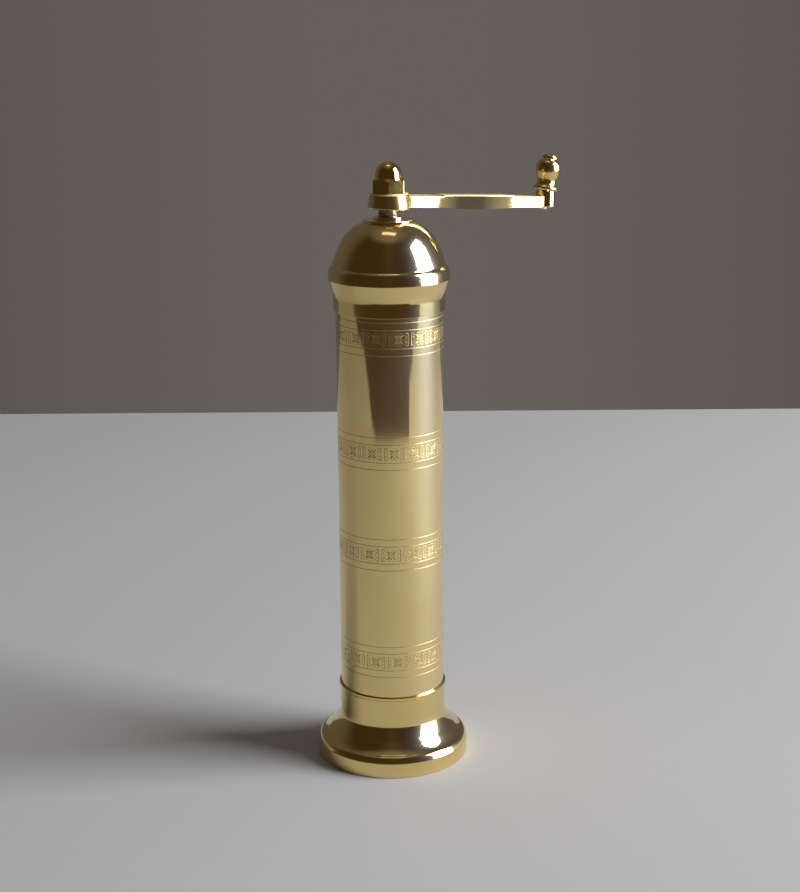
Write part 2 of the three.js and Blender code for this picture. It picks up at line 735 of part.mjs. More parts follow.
// The knob's outline is drawn in shares of its height, between its four radii
function makeKnob() {
  const bore = PIN_RADIUS + RUNNING_GAP;
  const at = (share) => RUNNING_GAP + share * KNOB_HEIGHT;
  const flange = KNOB_FLANGE_RADIUS;
  const neck = KNOB_NECK_RADIUS;
  const bulb = KNOB_BULB_RADIUS;
  return turned([
    [bore, at(0)],
    [flange - EDGE, at(0)],
    [flange, at(0.05)],
    [flange - EDGE / 4, at(0.11)],
    ...curvePoints([flange - EDGE / 4, at(0.11)], [neck + EDGE / 2, at(0.17)], [neck, at(0.22)],
      [neck, at(0.29)], 3),
    ...curvePoints([neck, at(0.29)], [neck, at(0.45)], [bulb, at(0.51)], [bulb, at(0.71)], 4),
    ...curvePoints([bulb, at(0.71)], [bulb, at(0.86)], [KNOB_TOP_RADIUS + 2 * EDGE, at(0.98)],
      [KNOB_TOP_RADIUS, at(1)], 4),
    [bore, at(1)],
  ], SMALL_FACETS);
}

// A pin with a domed head over the knob and a riveted tail under the boss
function makeKnobPin() {
  const headZ = 2 * RUNNING_GAP + KNOB_HEIGHT;
  const lean = radians(PIN_LEAN);
  const tailZ = -(bossTopZ - bossBottomZ) / Math.cos(lean) - PIN_TAIL_RADIUS * Math.tan(lean);
  return turned([
    [0, tailZ - PIN_TAIL_HEIGHT],
    [PIN_TAIL_RADIUS * 0.7, tailZ - PIN_TAIL_HEIGHT],
    [PIN_TAIL_RADIUS, tailZ],
    [PIN_RADIUS, tailZ],
    [PIN_RADIUS, headZ],
    [PIN_HEAD_RADIUS - EDGE / 2, headZ],
    [PIN_HEAD_RADIUS, headZ + PIN_HEAD_HEIGHT * 0.35],
    [PIN_HEAD_RADIUS * 0.8, headZ + PIN_HEAD_HEIGHT * 0.85],
    [PIN_HEAD_RADIUS * 0.4, headZ + PIN_HEAD_HEIGHT],
    [0, headZ + PIN_HEAD_HEIGHT],
  ], SMALL_FACETS);
}

function makeAcornNut() {
  const corner = NUT_FLATS / 2 / Math.cos(Math.PI / 6);
  const chamfered = turned([
    [0, hubTopZ],
    [corner - NUT_CHAMFER, hubTopZ],
    [corner + EDGE / 10, hubTopZ + NUT_CHAMFER],
    [corner + EDGE / 10, nutHexTopZ - NUT_CHAMFER],
    [corner - NUT_CHAMFER, nutHexTopZ],
    [0, nutHexTopZ],
  ], SMALL_FACETS);
  const domeRadius = NUT_FLATS / 2 - NUT_DOME_STEP;
  const arc = [15, 30, 45, 60, 75].map((angle) => [
    domeRadius * Math.cos(radians(angle)),
    nutTopZ - domeRadius * (1 - Math.sin(radians(angle))),
  ]);
  const dome = turned([
    [0, nutHexTopZ - OVERRUN],
    [domeRadius, nutHexTopZ - OVERRUN],
    [domeRadius, nutTopZ - domeRadius],
    ...arc,
    [0, nutTopZ],
  ], SMALL_FACETS);
  const bore = rod(upperThreadRadius + RUNNING_GAP, hubTopZ - OVERRUN, nutBoreTopZ);
  return cut(join(common(hexPrism(NUT_FLATS, hubTopZ, nutHexTopZ), chamfered), dome), bore);
}

// Assembly

const mill = new THREE.Group();

function addScrews() {
  const lowerLength = BRIDGE_THICKNESS + LEDGE_THICKNESS + SCREW_BITE;
  const upperLength = STRAP_THICKNESS + SCREW_BITE;
  screwPlaces().forEach((x, i) => {
    const lower = piece(`lower_bridge_screw_${i + 1}`, makeScrew(lowerLength), steel);
    lower.rotation.x = Math.PI;
    lower.position.set(x, 0, bridgeZ);
    const upper = piece(`spring_bridge_screw_${i + 1}`, makeScrew(upperLength), steel);
    upper.position.set(x, 0, burrTopZ + STRAP_THICKNESS);
    mill.add(lower, upper);
  });
}

function addCasing() {
  mill.add(piece('base_foot', makeFoot(), brass));
  mill.add(piece('body_tube', makeTube(), brass));
  mill.add(piece('outer_burr', makeOuterBurr(), burrSteel));
  mill.add(piece('lower_bridge', makeLowerBridge(), steel));
  mill.add(piece('spring_bridge', makeSpringBridge(), steel));
  mill.add(piece('bridge_bush', makeBridgeBush(), dullBrass));
  mill.add(piece('burr_spring', makeSpring(), springSteel));
}

function addAdjuster() {
  mill.add(piece('thrust_pad', makeThrustPad(), steel));
  mill.add(piece('adjusting_screw', makeAdjuster(), dullBrass));
}

function addRotor() {
  mill.add(piece('drive_shaft', makeShaft(), steel));
  mill.add(piece('inner_burr', makeInnerBurr(), burrSteel));
  mill.add(piece('burr_nut', makeBurrNut(), steel));
  mill.add(piece('spring_seat', makeSpringSeat(), steel));
}

function addLid() {
  mill.add(piece('lid_dome', makeLid(), brass));
  mill.add(piece('lid_bush', makeLidBush(), brass));
}

function addCrank() {
  const crank = new THREE.Group();
  crank.position.z = hubZ;
  crank.rotation.z = radians(CRANK_ANGLE);
  crank.add(piece('crank_arm', makeCrankArm(), brass));
  crank.add(piece('crank_knob', alongPin(makeKnob()), brass));
  crank.add(piece('knob_pin', alongPin(makeKnobPin()), brass));
  mill.add(crank);
  mill.add(piece('acorn_nut', makeAcornNut(), brass));
}

addCasing();
addScrews();
addAdjuster();
addRotor();
addLid();
addCrank();

export default mill;
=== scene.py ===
"""Looks of a hand-cranked brass salt mill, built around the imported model.

Blender works in metres; the modelling helpers take millimetres. The mill's axis is Z and the
table is the plane Z = 0. The photograph looks along +Y.
"""

import json
import math

import bmesh
import bpy
from mathutils import Matrix, Vector


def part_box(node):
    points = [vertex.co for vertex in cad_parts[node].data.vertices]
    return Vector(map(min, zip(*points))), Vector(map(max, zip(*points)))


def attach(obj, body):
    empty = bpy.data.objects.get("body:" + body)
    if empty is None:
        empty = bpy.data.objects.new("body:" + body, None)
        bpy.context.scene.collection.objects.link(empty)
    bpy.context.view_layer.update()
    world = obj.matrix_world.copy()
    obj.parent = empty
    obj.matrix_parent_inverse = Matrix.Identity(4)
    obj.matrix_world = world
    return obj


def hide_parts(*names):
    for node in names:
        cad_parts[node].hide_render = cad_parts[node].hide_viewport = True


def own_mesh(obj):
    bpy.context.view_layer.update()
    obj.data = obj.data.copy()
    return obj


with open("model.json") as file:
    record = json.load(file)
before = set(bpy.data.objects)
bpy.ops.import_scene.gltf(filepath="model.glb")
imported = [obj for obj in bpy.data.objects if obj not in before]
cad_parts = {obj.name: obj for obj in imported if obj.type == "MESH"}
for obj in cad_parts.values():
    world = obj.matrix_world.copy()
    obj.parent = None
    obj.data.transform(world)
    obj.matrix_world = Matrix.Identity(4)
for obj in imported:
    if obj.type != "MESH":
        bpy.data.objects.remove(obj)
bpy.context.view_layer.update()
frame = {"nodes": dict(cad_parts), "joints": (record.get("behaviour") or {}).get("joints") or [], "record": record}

MM = 0.001
JOINTS = {joint["name"]: joint for joint in frame["joints"]}
BODIES = frame["record"]["behaviour"]["bodies"]


def ends(node):
    """Lowest and highest corner of a node at rest, in millimetres."""
    low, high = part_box(node)
    return low / MM, high / MM


def middle_x(node):
    low, high = ends(node)
    return (low.x + high.x) / 2


# Usual edge rounding, and the clearances of fitted and of running pieces
EDGE = 0.3
FIT_GAP = 0.25
RUNNING_GAP = 0.3

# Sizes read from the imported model
TUBE_RADIUS = ends("body_tube")[1].x
TUBE_LOW_Z = ends("body_tube")[0].z
TUBE_TOP_Z = ends("body_tube")[1].z
SHAFT_RADIUS = ends("drive_shaft")[1].x
HUB_RADIUS = -ends("crank_arm")[0].x
HUB_TOP_Z = ends("crank_arm")[1].z
KNOB_SEAT = Vector(JOINTS["knob_spin"]["pos_m"]) / MM
PIN_AXIS = Vector(JOINTS["knob_spin"]["axis"]).normalized()
CRANK_ANGLE = math.atan2(KNOB_SEAT.y, KNOB_SEAT.x)
ARM_LENGTH = math.hypot(KNOB_SEAT.x, KNOB_SEAT.y)
PIN_LEAN = math.acos(PIN_AXIS.z)

# Sizes that several pieces share
TUBE_WALL = 1.2
HUB_HEIGHT = 5.4
HUB_Z = HUB_TOP_Z - HUB_HEIGHT
KNOB_HEIGHT = 11.0
PIN_RADIUS = 1.4
SQUARE_HALF = SHAFT_RADIUS - 1.15
UPPER_THREAD = SQUARE_HALF - 0.1
LOWER_THREAD = SQUARE_HALF - 0.5
BRIDGE_SLEEVE = SHAFT_RADIUS + RUNNING_GAP + 1.05
SCREW_HOLE = 1.5

# Camera: the place, tilt and lens that the photograph shows
CAMERA_PLACE = Vector((3.4, -594.2, 277)) * MM
CAMERA_PITCH = math.radians(15.05)
CAMERA_ROLL = math.radians(0.4)
PHOTO_HEIGHT_PX = 892
LENS_PX = 1710
SENSOR_MM = 36

# Table and surroundings
TABLE_FRONT_Y = -0.49
TABLE_BACK_Y = 0.53
TABLE_LEFT_X = -1.1
TABLE_RIGHT_X = 1.1
TABLE_THICKNESS = 0.03
CLOTH = (0.405, 0.388, 0.37)
# Painted shade: the cloth's darker colour towards the window
CLOTH_PAINTED_SHADE = (0.12, 0.113, 0.105)
DARK_ROOM = (0.06, 0.04, 0.019)
PALE_WALLS = (
    ("Y", -0.15, 0.5, (0.14, 0.122, 0.112)),
    ("X", 0.86, 0.98, (0.31, 0.29, 0.27)),
    ("Z", 0.82, 0.97, (0.2, 0.18, 0.15)),
)


# Shaping helpers


def ease(share):
    """Runs smoothly from 0 to 1, and stays there."""
    share = min(max(share, 0), 1)
    return share * share * (3 - 2 * share)


def rounded(points, count=4):
    """A profile of (r, z) or (r, z, rounding) points with each rounding drawn as a curve."""
    made = []
    for i, point in enumerate(points):
        corner = Vector(point[:2])
        if len(point) == 2:
            made.append(corner)
            continue
        before = Vector(points[i - 1][:2]) - corner
        after = Vector(points[(i + 1) % len(points)][:2]) - corner
        half = before.angle(after) / 2
        reach = point[2] / math.tan(half)
        start = corner + before.normalized() * min(reach, before.length * 0.48)
        end = corner + after.normalized() * min(reach, after.length * 0.48)
        for step in range(count + 1):
            t = step / count
            made.append(start * (1 - t) ** 2 + corner * 2 * t * (1 - t) + end * t**2)
    return [(p.x, p.y) for p in made]


def curve(start, pull_a, pull_b, end, count):
    """Points of a cubic curve, without its first point."""
    points = []
    for step in range(1, count + 1):
        t = step / count
        s = 1 - t
        points.append(tuple(
            a * s**3 + 3 * b * s * s * t + 3 * c * s * t * t + d * t**3
            for a, b, c, d in zip(start, pull_a, pull_b, end)
        ))
    return points


def spin_chain(bm, profile, steps, closed):
    """Turns a chain of (r, z) points round Z into the mesh."""
    verts = [bm.verts.new((r * MM, 0, z * MM)) for r, z in profile]
    edges = [bm.edges.new(pair) for pair in zip(verts, verts[1:])]
    if closed:
        edges.append(bm.edges.new((verts[-1], verts[0])))
    bmesh.ops.spin(
        bm, geom=verts + edges, cent=(0, 0, 0), axis=(0, 0, 1), dvec=(0, 0, 0),
        angle=2 * math.pi, steps=steps, use_merge=True, use_normal_flip=False, use_duplicate=False,
    )


def turned(profile, steps):
    """A closed solid turned round Z; a profile that isn't on the axis is closed on itself."""
    bm = bmesh.new()
    spin_chain(bm, profile, steps, closed=profile[0][0] > 0 or profile[-1][0] > 0)
    bmesh.ops.remove_doubles(bm, verts=bm.verts, dist=1e-7)
    bmesh.ops.recalc_face_normals(bm, faces=bm.faces)
    return bm


def cylinder(radius, bottom, top, steps):
    return turned([(0, bottom), (radius, bottom), (radius, top), (0, top)], steps)


def round_edges(bm, edges, width, segments=2):
    bmesh.ops.bevel(
        bm, geom=list(edges), offset=width * MM, offset_type="OFFSET", segments=segments,
        profile=0.5, affect="EDGES", clamp_overlap=True, material=-1,
    )


def prism(outline, bottom, top, bevel=0.0):
    """A flat outline of (x, y) points raised along Z, with its edges rounded."""
    bm = bmesh.new()
    verts = [bm.verts.new((x * MM, y * MM, bottom * MM)) for x, y in outline]
    face = bm.faces.new(verts)
    raised = bmesh.ops.extrude_face_region(bm, geom=[face])["geom"]
    top_verts = [v for v in raised if isinstance(v, bmesh.types.BMVert)]
    bmesh.ops.translate(bm, vec=(0, 0, (top - bottom) * MM), verts=top_verts)
    bmesh.ops.recalc_face_normals(bm, faces=bm.faces)
    if bevel:
        round_edges(bm, bm.edges, bevel)
    return bm


def block(half_x, half_y, bottom, top, bevel=0.0):
    corners = [(-half_x, -half_y), (half_x, -half_y), (half_x, half_y), (-half_x, half_y)]
    return prism(corners, bottom, top, bevel)


def hexagon(corner, bottom, top):
    """A six-sided prism with flats facing along X; corner is its widest radius."""
    angles = [math.pi / 3 * (i + 0.5) for i in range(6)]
    return prism([(corner * math.cos(a), corner * math.sin(a)) for a in angles], bottom, top)


def place(bm, matrix):
    bmesh.ops.transform(bm, matrix=matrix, verts=bm.verts)
    return bm


def shift(x=0.0, y=0.0, z=0.0):
    return Matrix.Translation(Vector((x, y, z)) * MM)


def turn(angle, axis):
    return Matrix.Rotation(angle, 4, axis)


def as_object(bm, name):
    mesh = bpy.data.meshes.new(name)
    bm.to_mesh(mesh)
    bm.free()
    piece = bpy.data.objects.new(name, mesh)
    bpy.context.scene.collection.objects.link(piece)
    return piece


def combined(base, others, operation):
    """The solid base joined with, cut by or kept within the others."""
    target = as_object(base, "work_base")
    tools = [as_object(other, "work_tool") for other in others]
    for tool in tools:
        change = target.modifiers.new("combine", "BOOLEAN")
        change.operation = operation
        change.object = tool
        change.solver = "EXACT"
    shown = target.evaluated_get(bpy.context.evaluated_depsgraph_get())
    bm = bmesh.new()
    bm.from_mesh(shown.to_mesh())
    shown.to_mesh_clear()
    for used in [target, *tools]:
        bpy.data.objects.remove(used)
    bmesh.ops.remove_doubles(bm, verts=bm.verts, dist=1e-6)
    bmesh.ops.dissolve_degenerate(bm, edges=bm.edges, dist=1e-7)
    return bm


SHARP_ANGLE = math.radians(32)


def wrap_uv(mesh, frame_matrix):
    """A UV map whose U runs round the piece's own axis, for the direction of the turning marks."""
    layer = mesh.uv_layers.new(name="turning")
    local = frame_matrix.inverted()
    places = [local @ vert.co for vert in mesh.vertices]
    for face in mesh.polygons:
        centre = local @ face.center
        middle = math.atan2(centre.y, centre.x)
        for loop in face.loop_indices:
            spot = places[mesh.loops[loop].vertex_index]
            away = math.atan2(spot.y, spot.x) - middle
            away = (away + math.pi) % (2 * math.pi) - math.pi
            layer.data[loop].uv = ((middle + away) / (2 * math.pi), spot.z / MM / 100)


def dress(bm, node, finish, own_frame=None, weighted=True):
    """Makes the piece that stands for a node, with its finish, shading and body."""
    piece = as_object(bm, f"{node}_look")
    piece.data.materials.append(finish)
    piece.data.shade_smooth()
    piece.data.set_sharp_from_angle(angle=SHARP_ANGLE)
    wrap_uv(piece.data, own_frame or Matrix.Identity(4))
    if weighted:
        normals = piece.modifiers.new("even shading", "WEIGHTED_NORMAL")
        normals.keep_sharp = True
        normals.weight = 80
    body = next(name for name, members in BODIES.items() if node in members)
    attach(piece, body)
    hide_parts(node)
    return piece


def make_turned(node, profile, steps, finish, own_frame=None):
    """Makes a piece turned from a profile, in its own frame where it leans."""
    body = turned(rounded(profile), steps)
    if own_frame is not None:
        place(body, own_frame)
    return dress(body, node, finish, own_frame)


# Finishes


class Nodes:
    """A node tree, with short ways to add nodes and join them."""

    def __init__(self, tree):
        self.nodes, self.links = tree.nodes, tree.links

    def fill(self, node, inputs):
        """Joins inputs to other nodes' outputs, or sets them where they are constants."""
        for key, value in inputs.items():
            socket = node.inputs[key]
            if isinstance(value, bpy.types.NodeSocket):
                self.links.new(value, socket)
            else:
                socket.default_value = (*value, 1) if socket.type == "RGBA" else value

    def node(self, kind, inputs=None, **settings):
        """Adds a node and returns its outputs."""
        made = self.nodes.new(f"ShaderNode{kind}")
        for key, value in settings.items():
            setattr(made, key, value)
        self.fill(made, inputs or {})
        return made.outputs

    def split(self, vector):
        return self.node("SeparateXYZ", {"Vector": vector})

    def maths(self, operation, *values):
        return self.node("Math", dict(enumerate(values)), operation=operation)["Value"]

    def ranged(self, value, low, high, to_low=0, to_high=1, interpolation="LINEAR"):
        inputs = {"Value": value, "From Min": low, "From Max": high, "To Min": to_low, "To Max": to_high}
        return self.node("MapRange", inputs, interpolation_type=interpolation)["Result"]

    def mixed(self, factor, below, colour):
        """Blends a colour over another one, or over another node's output."""
        return self.node("Mix", {"Factor": factor, "A": below, "B": colour}, data_type="RGBA")["Result"]


class Finish(Nodes):
    """A node material with one Principled shader."""

    def __init__(self, name):
        self.material = bpy.data.materials.new(name)
        self.material.use_nodes = True
        super().__init__(self.material.node_tree)
        self.shader = self.nodes["Principled BSDF"]

    def feed(self, name, value):
        self.fill(self.shader, {name: value})

    def coordinates(self, turn_back=None):
        """Object coordinates, in the piece's own frame where it leans."""
        spot = self.node("TexCoord")["Object"]
        if turn_back is None:
            return spot
        location, rotation, _ = turn_back.decompose()
        inputs = {"Vector": spot, "Location": location, "Rotation": rotation.to_euler()}
        return self.node("Mapping", inputs, vector_type="TEXTURE")["Vector"]

    def noise(self, vector, scale, detail=3.0, roughness=0.5):
        inputs = {"Vector": vector, "Scale": scale, "Detail": detail, "Roughness": roughness}
        return self.node("TexNoise", inputs)["Fac"]

    def flattened(self, vector):
        """The vector without its height."""
        return self.node("VectorMath", {0: vector, 1: (1, 1, 0)}, operation="MULTIPLY")["Vector"]

    def round_axis(self, vector):
        """Distance from the axis and height along it, so that a pattern forms turning marks."""
        away = self.node("VectorMath", {0: self.flattened(vector)}, operation="LENGTH")["Value"]
        return self.node("CombineXYZ", {"X": away, "Z": self.split(vector)["Z"]})["Vector"]

    def bump(self, height, strength, distance):
        """Adds a bump on top of those that the shader has."""
        inputs = {"Strength": strength, "Distance": distance * MM, "Height": height}
        for link in self.shader.inputs["Normal"].links:
            inputs["Normal"] = link.from_socket
        self.feed("Normal", self.node("Bump", inputs)["Normal"])

    def follow_turning(self, amount):
        """Stretches reflections across the turning marks."""
        self.feed("Anisotropic", amount)
        self.feed("Anisotropic Rotation", 0.25)
        self.feed("Tangent", self.node("Tangent", direction_type="UV_MAP", uv_map="turning")["Tangent"])


BRASS = (0.86, 0.665, 0.265)
BRASS_WARM = (0.78, 0.55, 0.18)
# Painted dark reflection: a dark base colour for the middle of the crank's waist
BRASS_PAINTED_DARK_REFLECTION = (0.12, 0.1, 0.075)
CUT_DARK = (0.4, 0.285, 0.11)
CUT_PALE = (0.7, 0.53, 0.22)


def brass_finish(name, polish, streak, turn_back=None, marks=0.25, veil=(0, 0.2, 1.5), smudge=0.04, dull=0.0):
    """Polished brass: fine turning marks, smudges in the gloss and a little warm tarnish.

    The veil is a thin clear film over the metal: its weight, its roughness and its refraction.
    The dull share of the metal is covered with tarnish that doesn't shine.
    """
    brass = Finish(name)
    spot = brass.coordinates(turn_back)
    tarnish = brass.ranged(brass.noise(spot, 55, 6, 0.6), 0.42, 0.75, 0, 0.55)
    brass.feed("Base Color", brass.mixed(tarnish, BRASS, BRASS_WARM))
    smudges = brass.noise(spot, 120, 5, 0.65)
    brass.feed("Roughness", brass.ranged(smudges, 0.35, 0.75, polish, polish + smudge))
    brass.feed("Metallic", 1 - dull)
    if dull:
        brass.bump(brass.noise(brass.flattened(spot), 420, 2, 0.5), 0.6, 0.06)
    brass.bump(brass.noise(brass.round_axis(spot), 2600, 2, 0.5), marks, 0.004)
    if streak:
        brass.follow_turning(streak)
    for socket, number in zip(("Coat Weight", "Coat Roughness", "Coat IOR"), veil):
        brass.feed(socket, number)
    return brass.material


def crank_finish():
    """Cast brass with polished sides, duller on the hub, and a painted dark reflection on the waist."""
    brass = Finish("crank_brass")
    spot = brass.coordinates(CRANK_FRAME)
    along = brass.split(spot)["X"]
    mottle = brass.ranged(brass.noise(spot, 2600, 3, 0.6), 0.3, 0.7)
    # Painted dark reflection: the middle of the waist gets a darker base colour that stands for the dark room it
    # reflects
    waist = brass.ranged(along, (NEAR_END - 5) * MM, (NEAR_END + 7) * MM)
    fade = brass.ranged(along, (FAR_START - 15) * MM, (FAR_START - 1) * MM, 1, 0)
    painted_dark_reflection = brass.maths("MULTIPLY", waist, fade)
    painted_dark_reflection_patch = brass.maths("MULTIPLY", painted_dark_reflection, brass.ranged(mottle, 0, 1, 0.85, 1))
    brass.feed("Base Color", brass.mixed(painted_dark_reflection_patch, BRASS, BRASS_PAINTED_DARK_REFLECTION))
    hub = brass.ranged(along, 6 * MM, 9 * MM, 0.2, 0.12)
    brass.feed("Roughness", brass.maths("ADD", hub, brass.ranged(mottle, 0, 1, 0, 0.03)))
    brass.feed("Metallic", 1)
    brass.bump(brass.noise(spot, 300, 2, 0.4), 0.12, 0.03)
    return brass.material


def engraved_finish():
    """Floor and walls of the engraving: cut metal, duller and a little darker."""
    cut = Finish("engraved_brass")
    spot = cut.coordinates()
    cut.feed("Base Color", cut.mixed(cut.ranged(cut.noise(spot, 900, 4, 0.6), 0.3, 0.7), CUT_DARK, CUT_PALE))
    cut.feed("Roughness", cut.ranged(cut.noise(spot, 1500, 2), 0.3, 0.7, 0.34, 0.5))
    cut.feed("Metallic", 1)
    return cut.material


def steel_finish(name, colour, shadow, gloss):
    """Turned or drawn steel, with stains and machining marks."""
    steel = Finish(name)
    spot = steel.coordinates()
    stains = steel.ranged(steel.noise(spot, 180, 6, 0.6), 0.35, 0.7)
    steel.feed("Base Color", steel.mixed(stains, colour, shadow))
    steel.feed("Roughness", steel.ranged(steel.noise(spot, 420, 4), 0.3, 0.7, gloss, gloss + 0.16))
    steel.feed("Metallic", 1)
    steel.bump(steel.noise(steel.round_axis(spot), 1500, 3), 0.35, 0.01)
    return steel.material


# Foot and tube


def make_foot(finish):
    high = ends("base_foot")[1]
    rim = high.x
    bore = TUBE_RADIUS + 0.05
    collar = bore + 0.35
    bead = TUBE_RADIUS + FIT_GAP + 0.5
    seat, ledge, ledge_z = TUBE_LOW_Z, 13.0, TUBE_LOW_Z - 2.7
    rim_top = (rim - 0.2, 5.5)
    lip_top = (26.15, 7.75)
    dish = (25.55, 8.05)
    bell = (22.4, 11.2)
    flare_top = (20.1, 14.6)
    profile = [
        (25.6, 0, EDGE),
        (rim, 0, 0.5),
        *rounded([(rim, 1), (*rim_top, 0.15), (rim_top[0] - 0.6, rim_top[1] + 0.9)], 3)[1:-1],
        *curve((rim_top[0] - 0.15, rim_top[1] + 0.3), (rim_top[0] - 0.4, 6.9), (lip_top[0] + 0.6, 7.55),
               lip_top, 10),
        *curve(lip_top, (lip_top[0] - 0.2, 7.85), (dish[0] + 0.2, 7.9), dish, 5),
        *curve(dish, (24.3, 8.9), (23.5, 10.0), bell, 14),
        *curve(bell, (21.5, 12.2), (20.7, 13.4), flare_top, 12),
        *curve(flare_top, (19.8, 15.25), (collar + 0.06, 15.8), (collar, 17.3), 10),
        (collar, high.z - 1.4, 0.3),
        (bead, high.z - 0.85, 0.12),
        (bead, high.z, 0.14),
        (bore, high.z, 0.1),
        (bore, seat),
        (ledge, seat, EDGE),
        (ledge, ledge_z, EDGE),
        (18.7, ledge_z, 1.0),
        (21.3, 11.0, 1.5),
        (23.6, 7.9, 1.2),
        (25.3, 5.2, 1.2),
        (25.4, 0, EDGE),
    ]
    return make_turned("base_foot", profile, 144, finish)


# Engraved bands of the tube: heights of their middles with how far each is turned, in columns,
# then the ring lines of each, and its cells with the motif cut into them
BAND_TURNS = {41.4: 0, 82.1: -3, 119.3: -1, 159.9: 2}
RING_LINES = (-5.8, -3.2, 3.2, 5.8)
LINE_HALF = 0.12
LINE_FLOOR_HALF = 0.04
LINE_DEPTH = 0.04
CELLS = 15
CELL_COLUMNS = 12
CELL_WIDTH = 2 * math.pi * TUBE_RADIUS / CELLS
CELL_HALF_HEIGHT = 2.5
CUT_DEPTH = 0.035
CUT_SLOPE = 0.07


def leaf(angle, start, end, width, count=5):
    """Outline of a pointed leaf that points away from the cell's middle."""
    along = Vector((math.cos(angle), math.sin(angle)))
    across = Vector((-along.y, along.x))
    sides = []
    for side in (1, -1):
        half = [
            along * (start + (end - start) * i / count)
            + across * side * width / 2 * math.sin(math.pi * i / count) ** 0.8
            for i in range(count + 1)
        ]
        sides.append(half)
    return sides[0][:-1] + list(reversed(sides[1]))[:-1]


def bracket(x, half_height, thick, reach):
    """Outline of an upright bar whose ends turn inwards, towards the cell's middle."""
    side = 1 if x > 0 else -1
    foot = half_height - thick * 0.8
    inner, tip = x - side * thick, x - side * reach
    return [Vector(p) for p in (
        (x, -half_height), (x, half_height), (tip, half_height), (tip, foot),
        (inner, foot), (inner, -foot), (tip, -foot), (tip, -half_height),
    )]


def stroke(a, b, width):
    """Outline of a straight cut with pointed ends."""
    a, b = Vector(a), Vector(b)
    along = (b - a).normalized() * width / 2
    across = Vector((-along.y, along.x))
    return [a - along, a + across, b + across, b + along, b - across, a - across]


def moved(points, x, y):
    return [point + Vector((x, y)) for point in points]


def motif():
    """Outlines of all cuts of one cell, about its middle, in millimetres."""
    cuts = [bracket(x, 2.28, 0.28, 1.15) for x in (-3.5, 3.5)]
    cuts += [leaf(math.radians(48 + 84 * (i // 2) + 180 * (i % 2)), 0.42, 2.3, 0.7) for i in range(4)]
    cuts += [leaf(math.radians(90 * i), 0.45, 1.9 if i % 2 else 1.5, 0.46) for i in range(4)]
    for side in (-1, 1):
        cuts += [moved(leaf(angle, 0.15, 1.05, 0.36, 4), side * 2.35, level * 0.25)
                 for level, angle in ((1, math.radians(90 - side * 20)), (-1, math.radians(-90 + side * 20)))]
        cuts += [moved(leaf(math.pi / 2 * (1 - side), 0.12, 0.62, 0.3, 3), side * 1.95, 0)]
        for level in (-1, 1):
            cuts.append(stroke((side * 0.45, level * 2.12), (side * 1.0, level * 2.12), 0.2))
            cuts.append(stroke((side * 1.95, level * 1.5), (side * 2.5, level * 1.72), 0.2))
    angles = [math.pi / 4 * i for i in range(8)]
    cuts.append([Vector((0.24 * math.cos(a), 0.24 * math.sin(a))) for a in angles])
    return cuts


def loop_of(bm, points):
    verts = [bm.verts.new((p[0], p[1], 0)) for p in points]
    edges = [bm.edges.new((a, b)) for a, b in zip(verts, verts[1:] + verts[:1])]
    return verts, edges


def flat_cell():
    """One cell of the ornament, laid flat: X round the tube, Y up, in millimetres."""
    bm = bmesh.new()
    half, tall = CELL_WIDTH / 2, CELL_HALF_HEIGHT
    edges = loop_of(bm, [(-half, -tall), (half, -tall), (half, tall), (-half, tall)])[1]
    cuts = []
    for points in motif():
        verts, sides = loop_of(bm, points)
        edges += sides
        cuts.append(verts)
    bmesh.ops.triangle_fill(bm, use_beauty=True, use_dissolve=False, edges=edges, normal=(0, 0, 1))
    for verts in cuts:
        floor = bm.faces.new(verts)
        floor.material_index = 1
        floor.normal_update()
        if floor.normal.z < 0:
            floor.normal_flip()
        walls = bmesh.ops.inset_region(
            bm, faces=[floor], thickness=CUT_SLOPE, depth=-CUT_DEPTH, use_even_offset=True, use_boundary=True,
        )["faces"]
        for wall in walls:
            wall.material_index = 1
    for column in range(1, CELL_COLUMNS):
        bmesh.ops.bisect_plane(
            bm, geom=bm.verts[:] + bm.edges[:] + bm.faces[:], dist=1e-5,
            plane_co=(-half + CELL_WIDTH * column / CELL_COLUMNS, 0, 0), plane_no=(1, 0, 0),
        )
    bmesh.ops.triangulate(bm, faces=bm.faces)
    return bm


def wrap_cell(bm, height):
    """Bends the flat cell round the tube, at a band's height."""
    for vert in bm.verts:
        angle = vert.co.x / TUBE_RADIUS + math.pi / CELLS
        radius = TUBE_RADIUS + vert.co.z
        vert.co = Vector((radius * math.cos(angle), radius * math.sin(angle), height + vert.co.y)) * MM


def add_copies(bm, part, count, first=0.0):
    """Adds copies of the part evenly round Z; the first is turned by a share of their spacing."""
    mesh = bpy.data.meshes.new("work_copy")
    part.to_mesh(mesh)
    part.free()
    for i in range(count):
        known = set(bm.verts)
        bm.from_mesh(mesh)
        new = [v for v in bm.verts if v not in known]
        angle = 2 * math.pi * (i + first) / count
        bmesh.ops.rotate(bm, cent=(0, 0, 0), matrix=Matrix.Rotation(angle, 3, "Z"), verts=new)
    bpy.data.meshes.remove(mesh)


def ring_line(z):
    """A cut line round the tube."""
    depth = TUBE_RADIUS - LINE_DEPTH
    return [
        (TUBE_RADIUS, z - LINE_HALF), (depth, z - LINE_FLOOR_HALF),
        (depth, z + LINE_FLOOR_HALF), (TUBE_RADIUS, z + LINE_HALF),
    ]


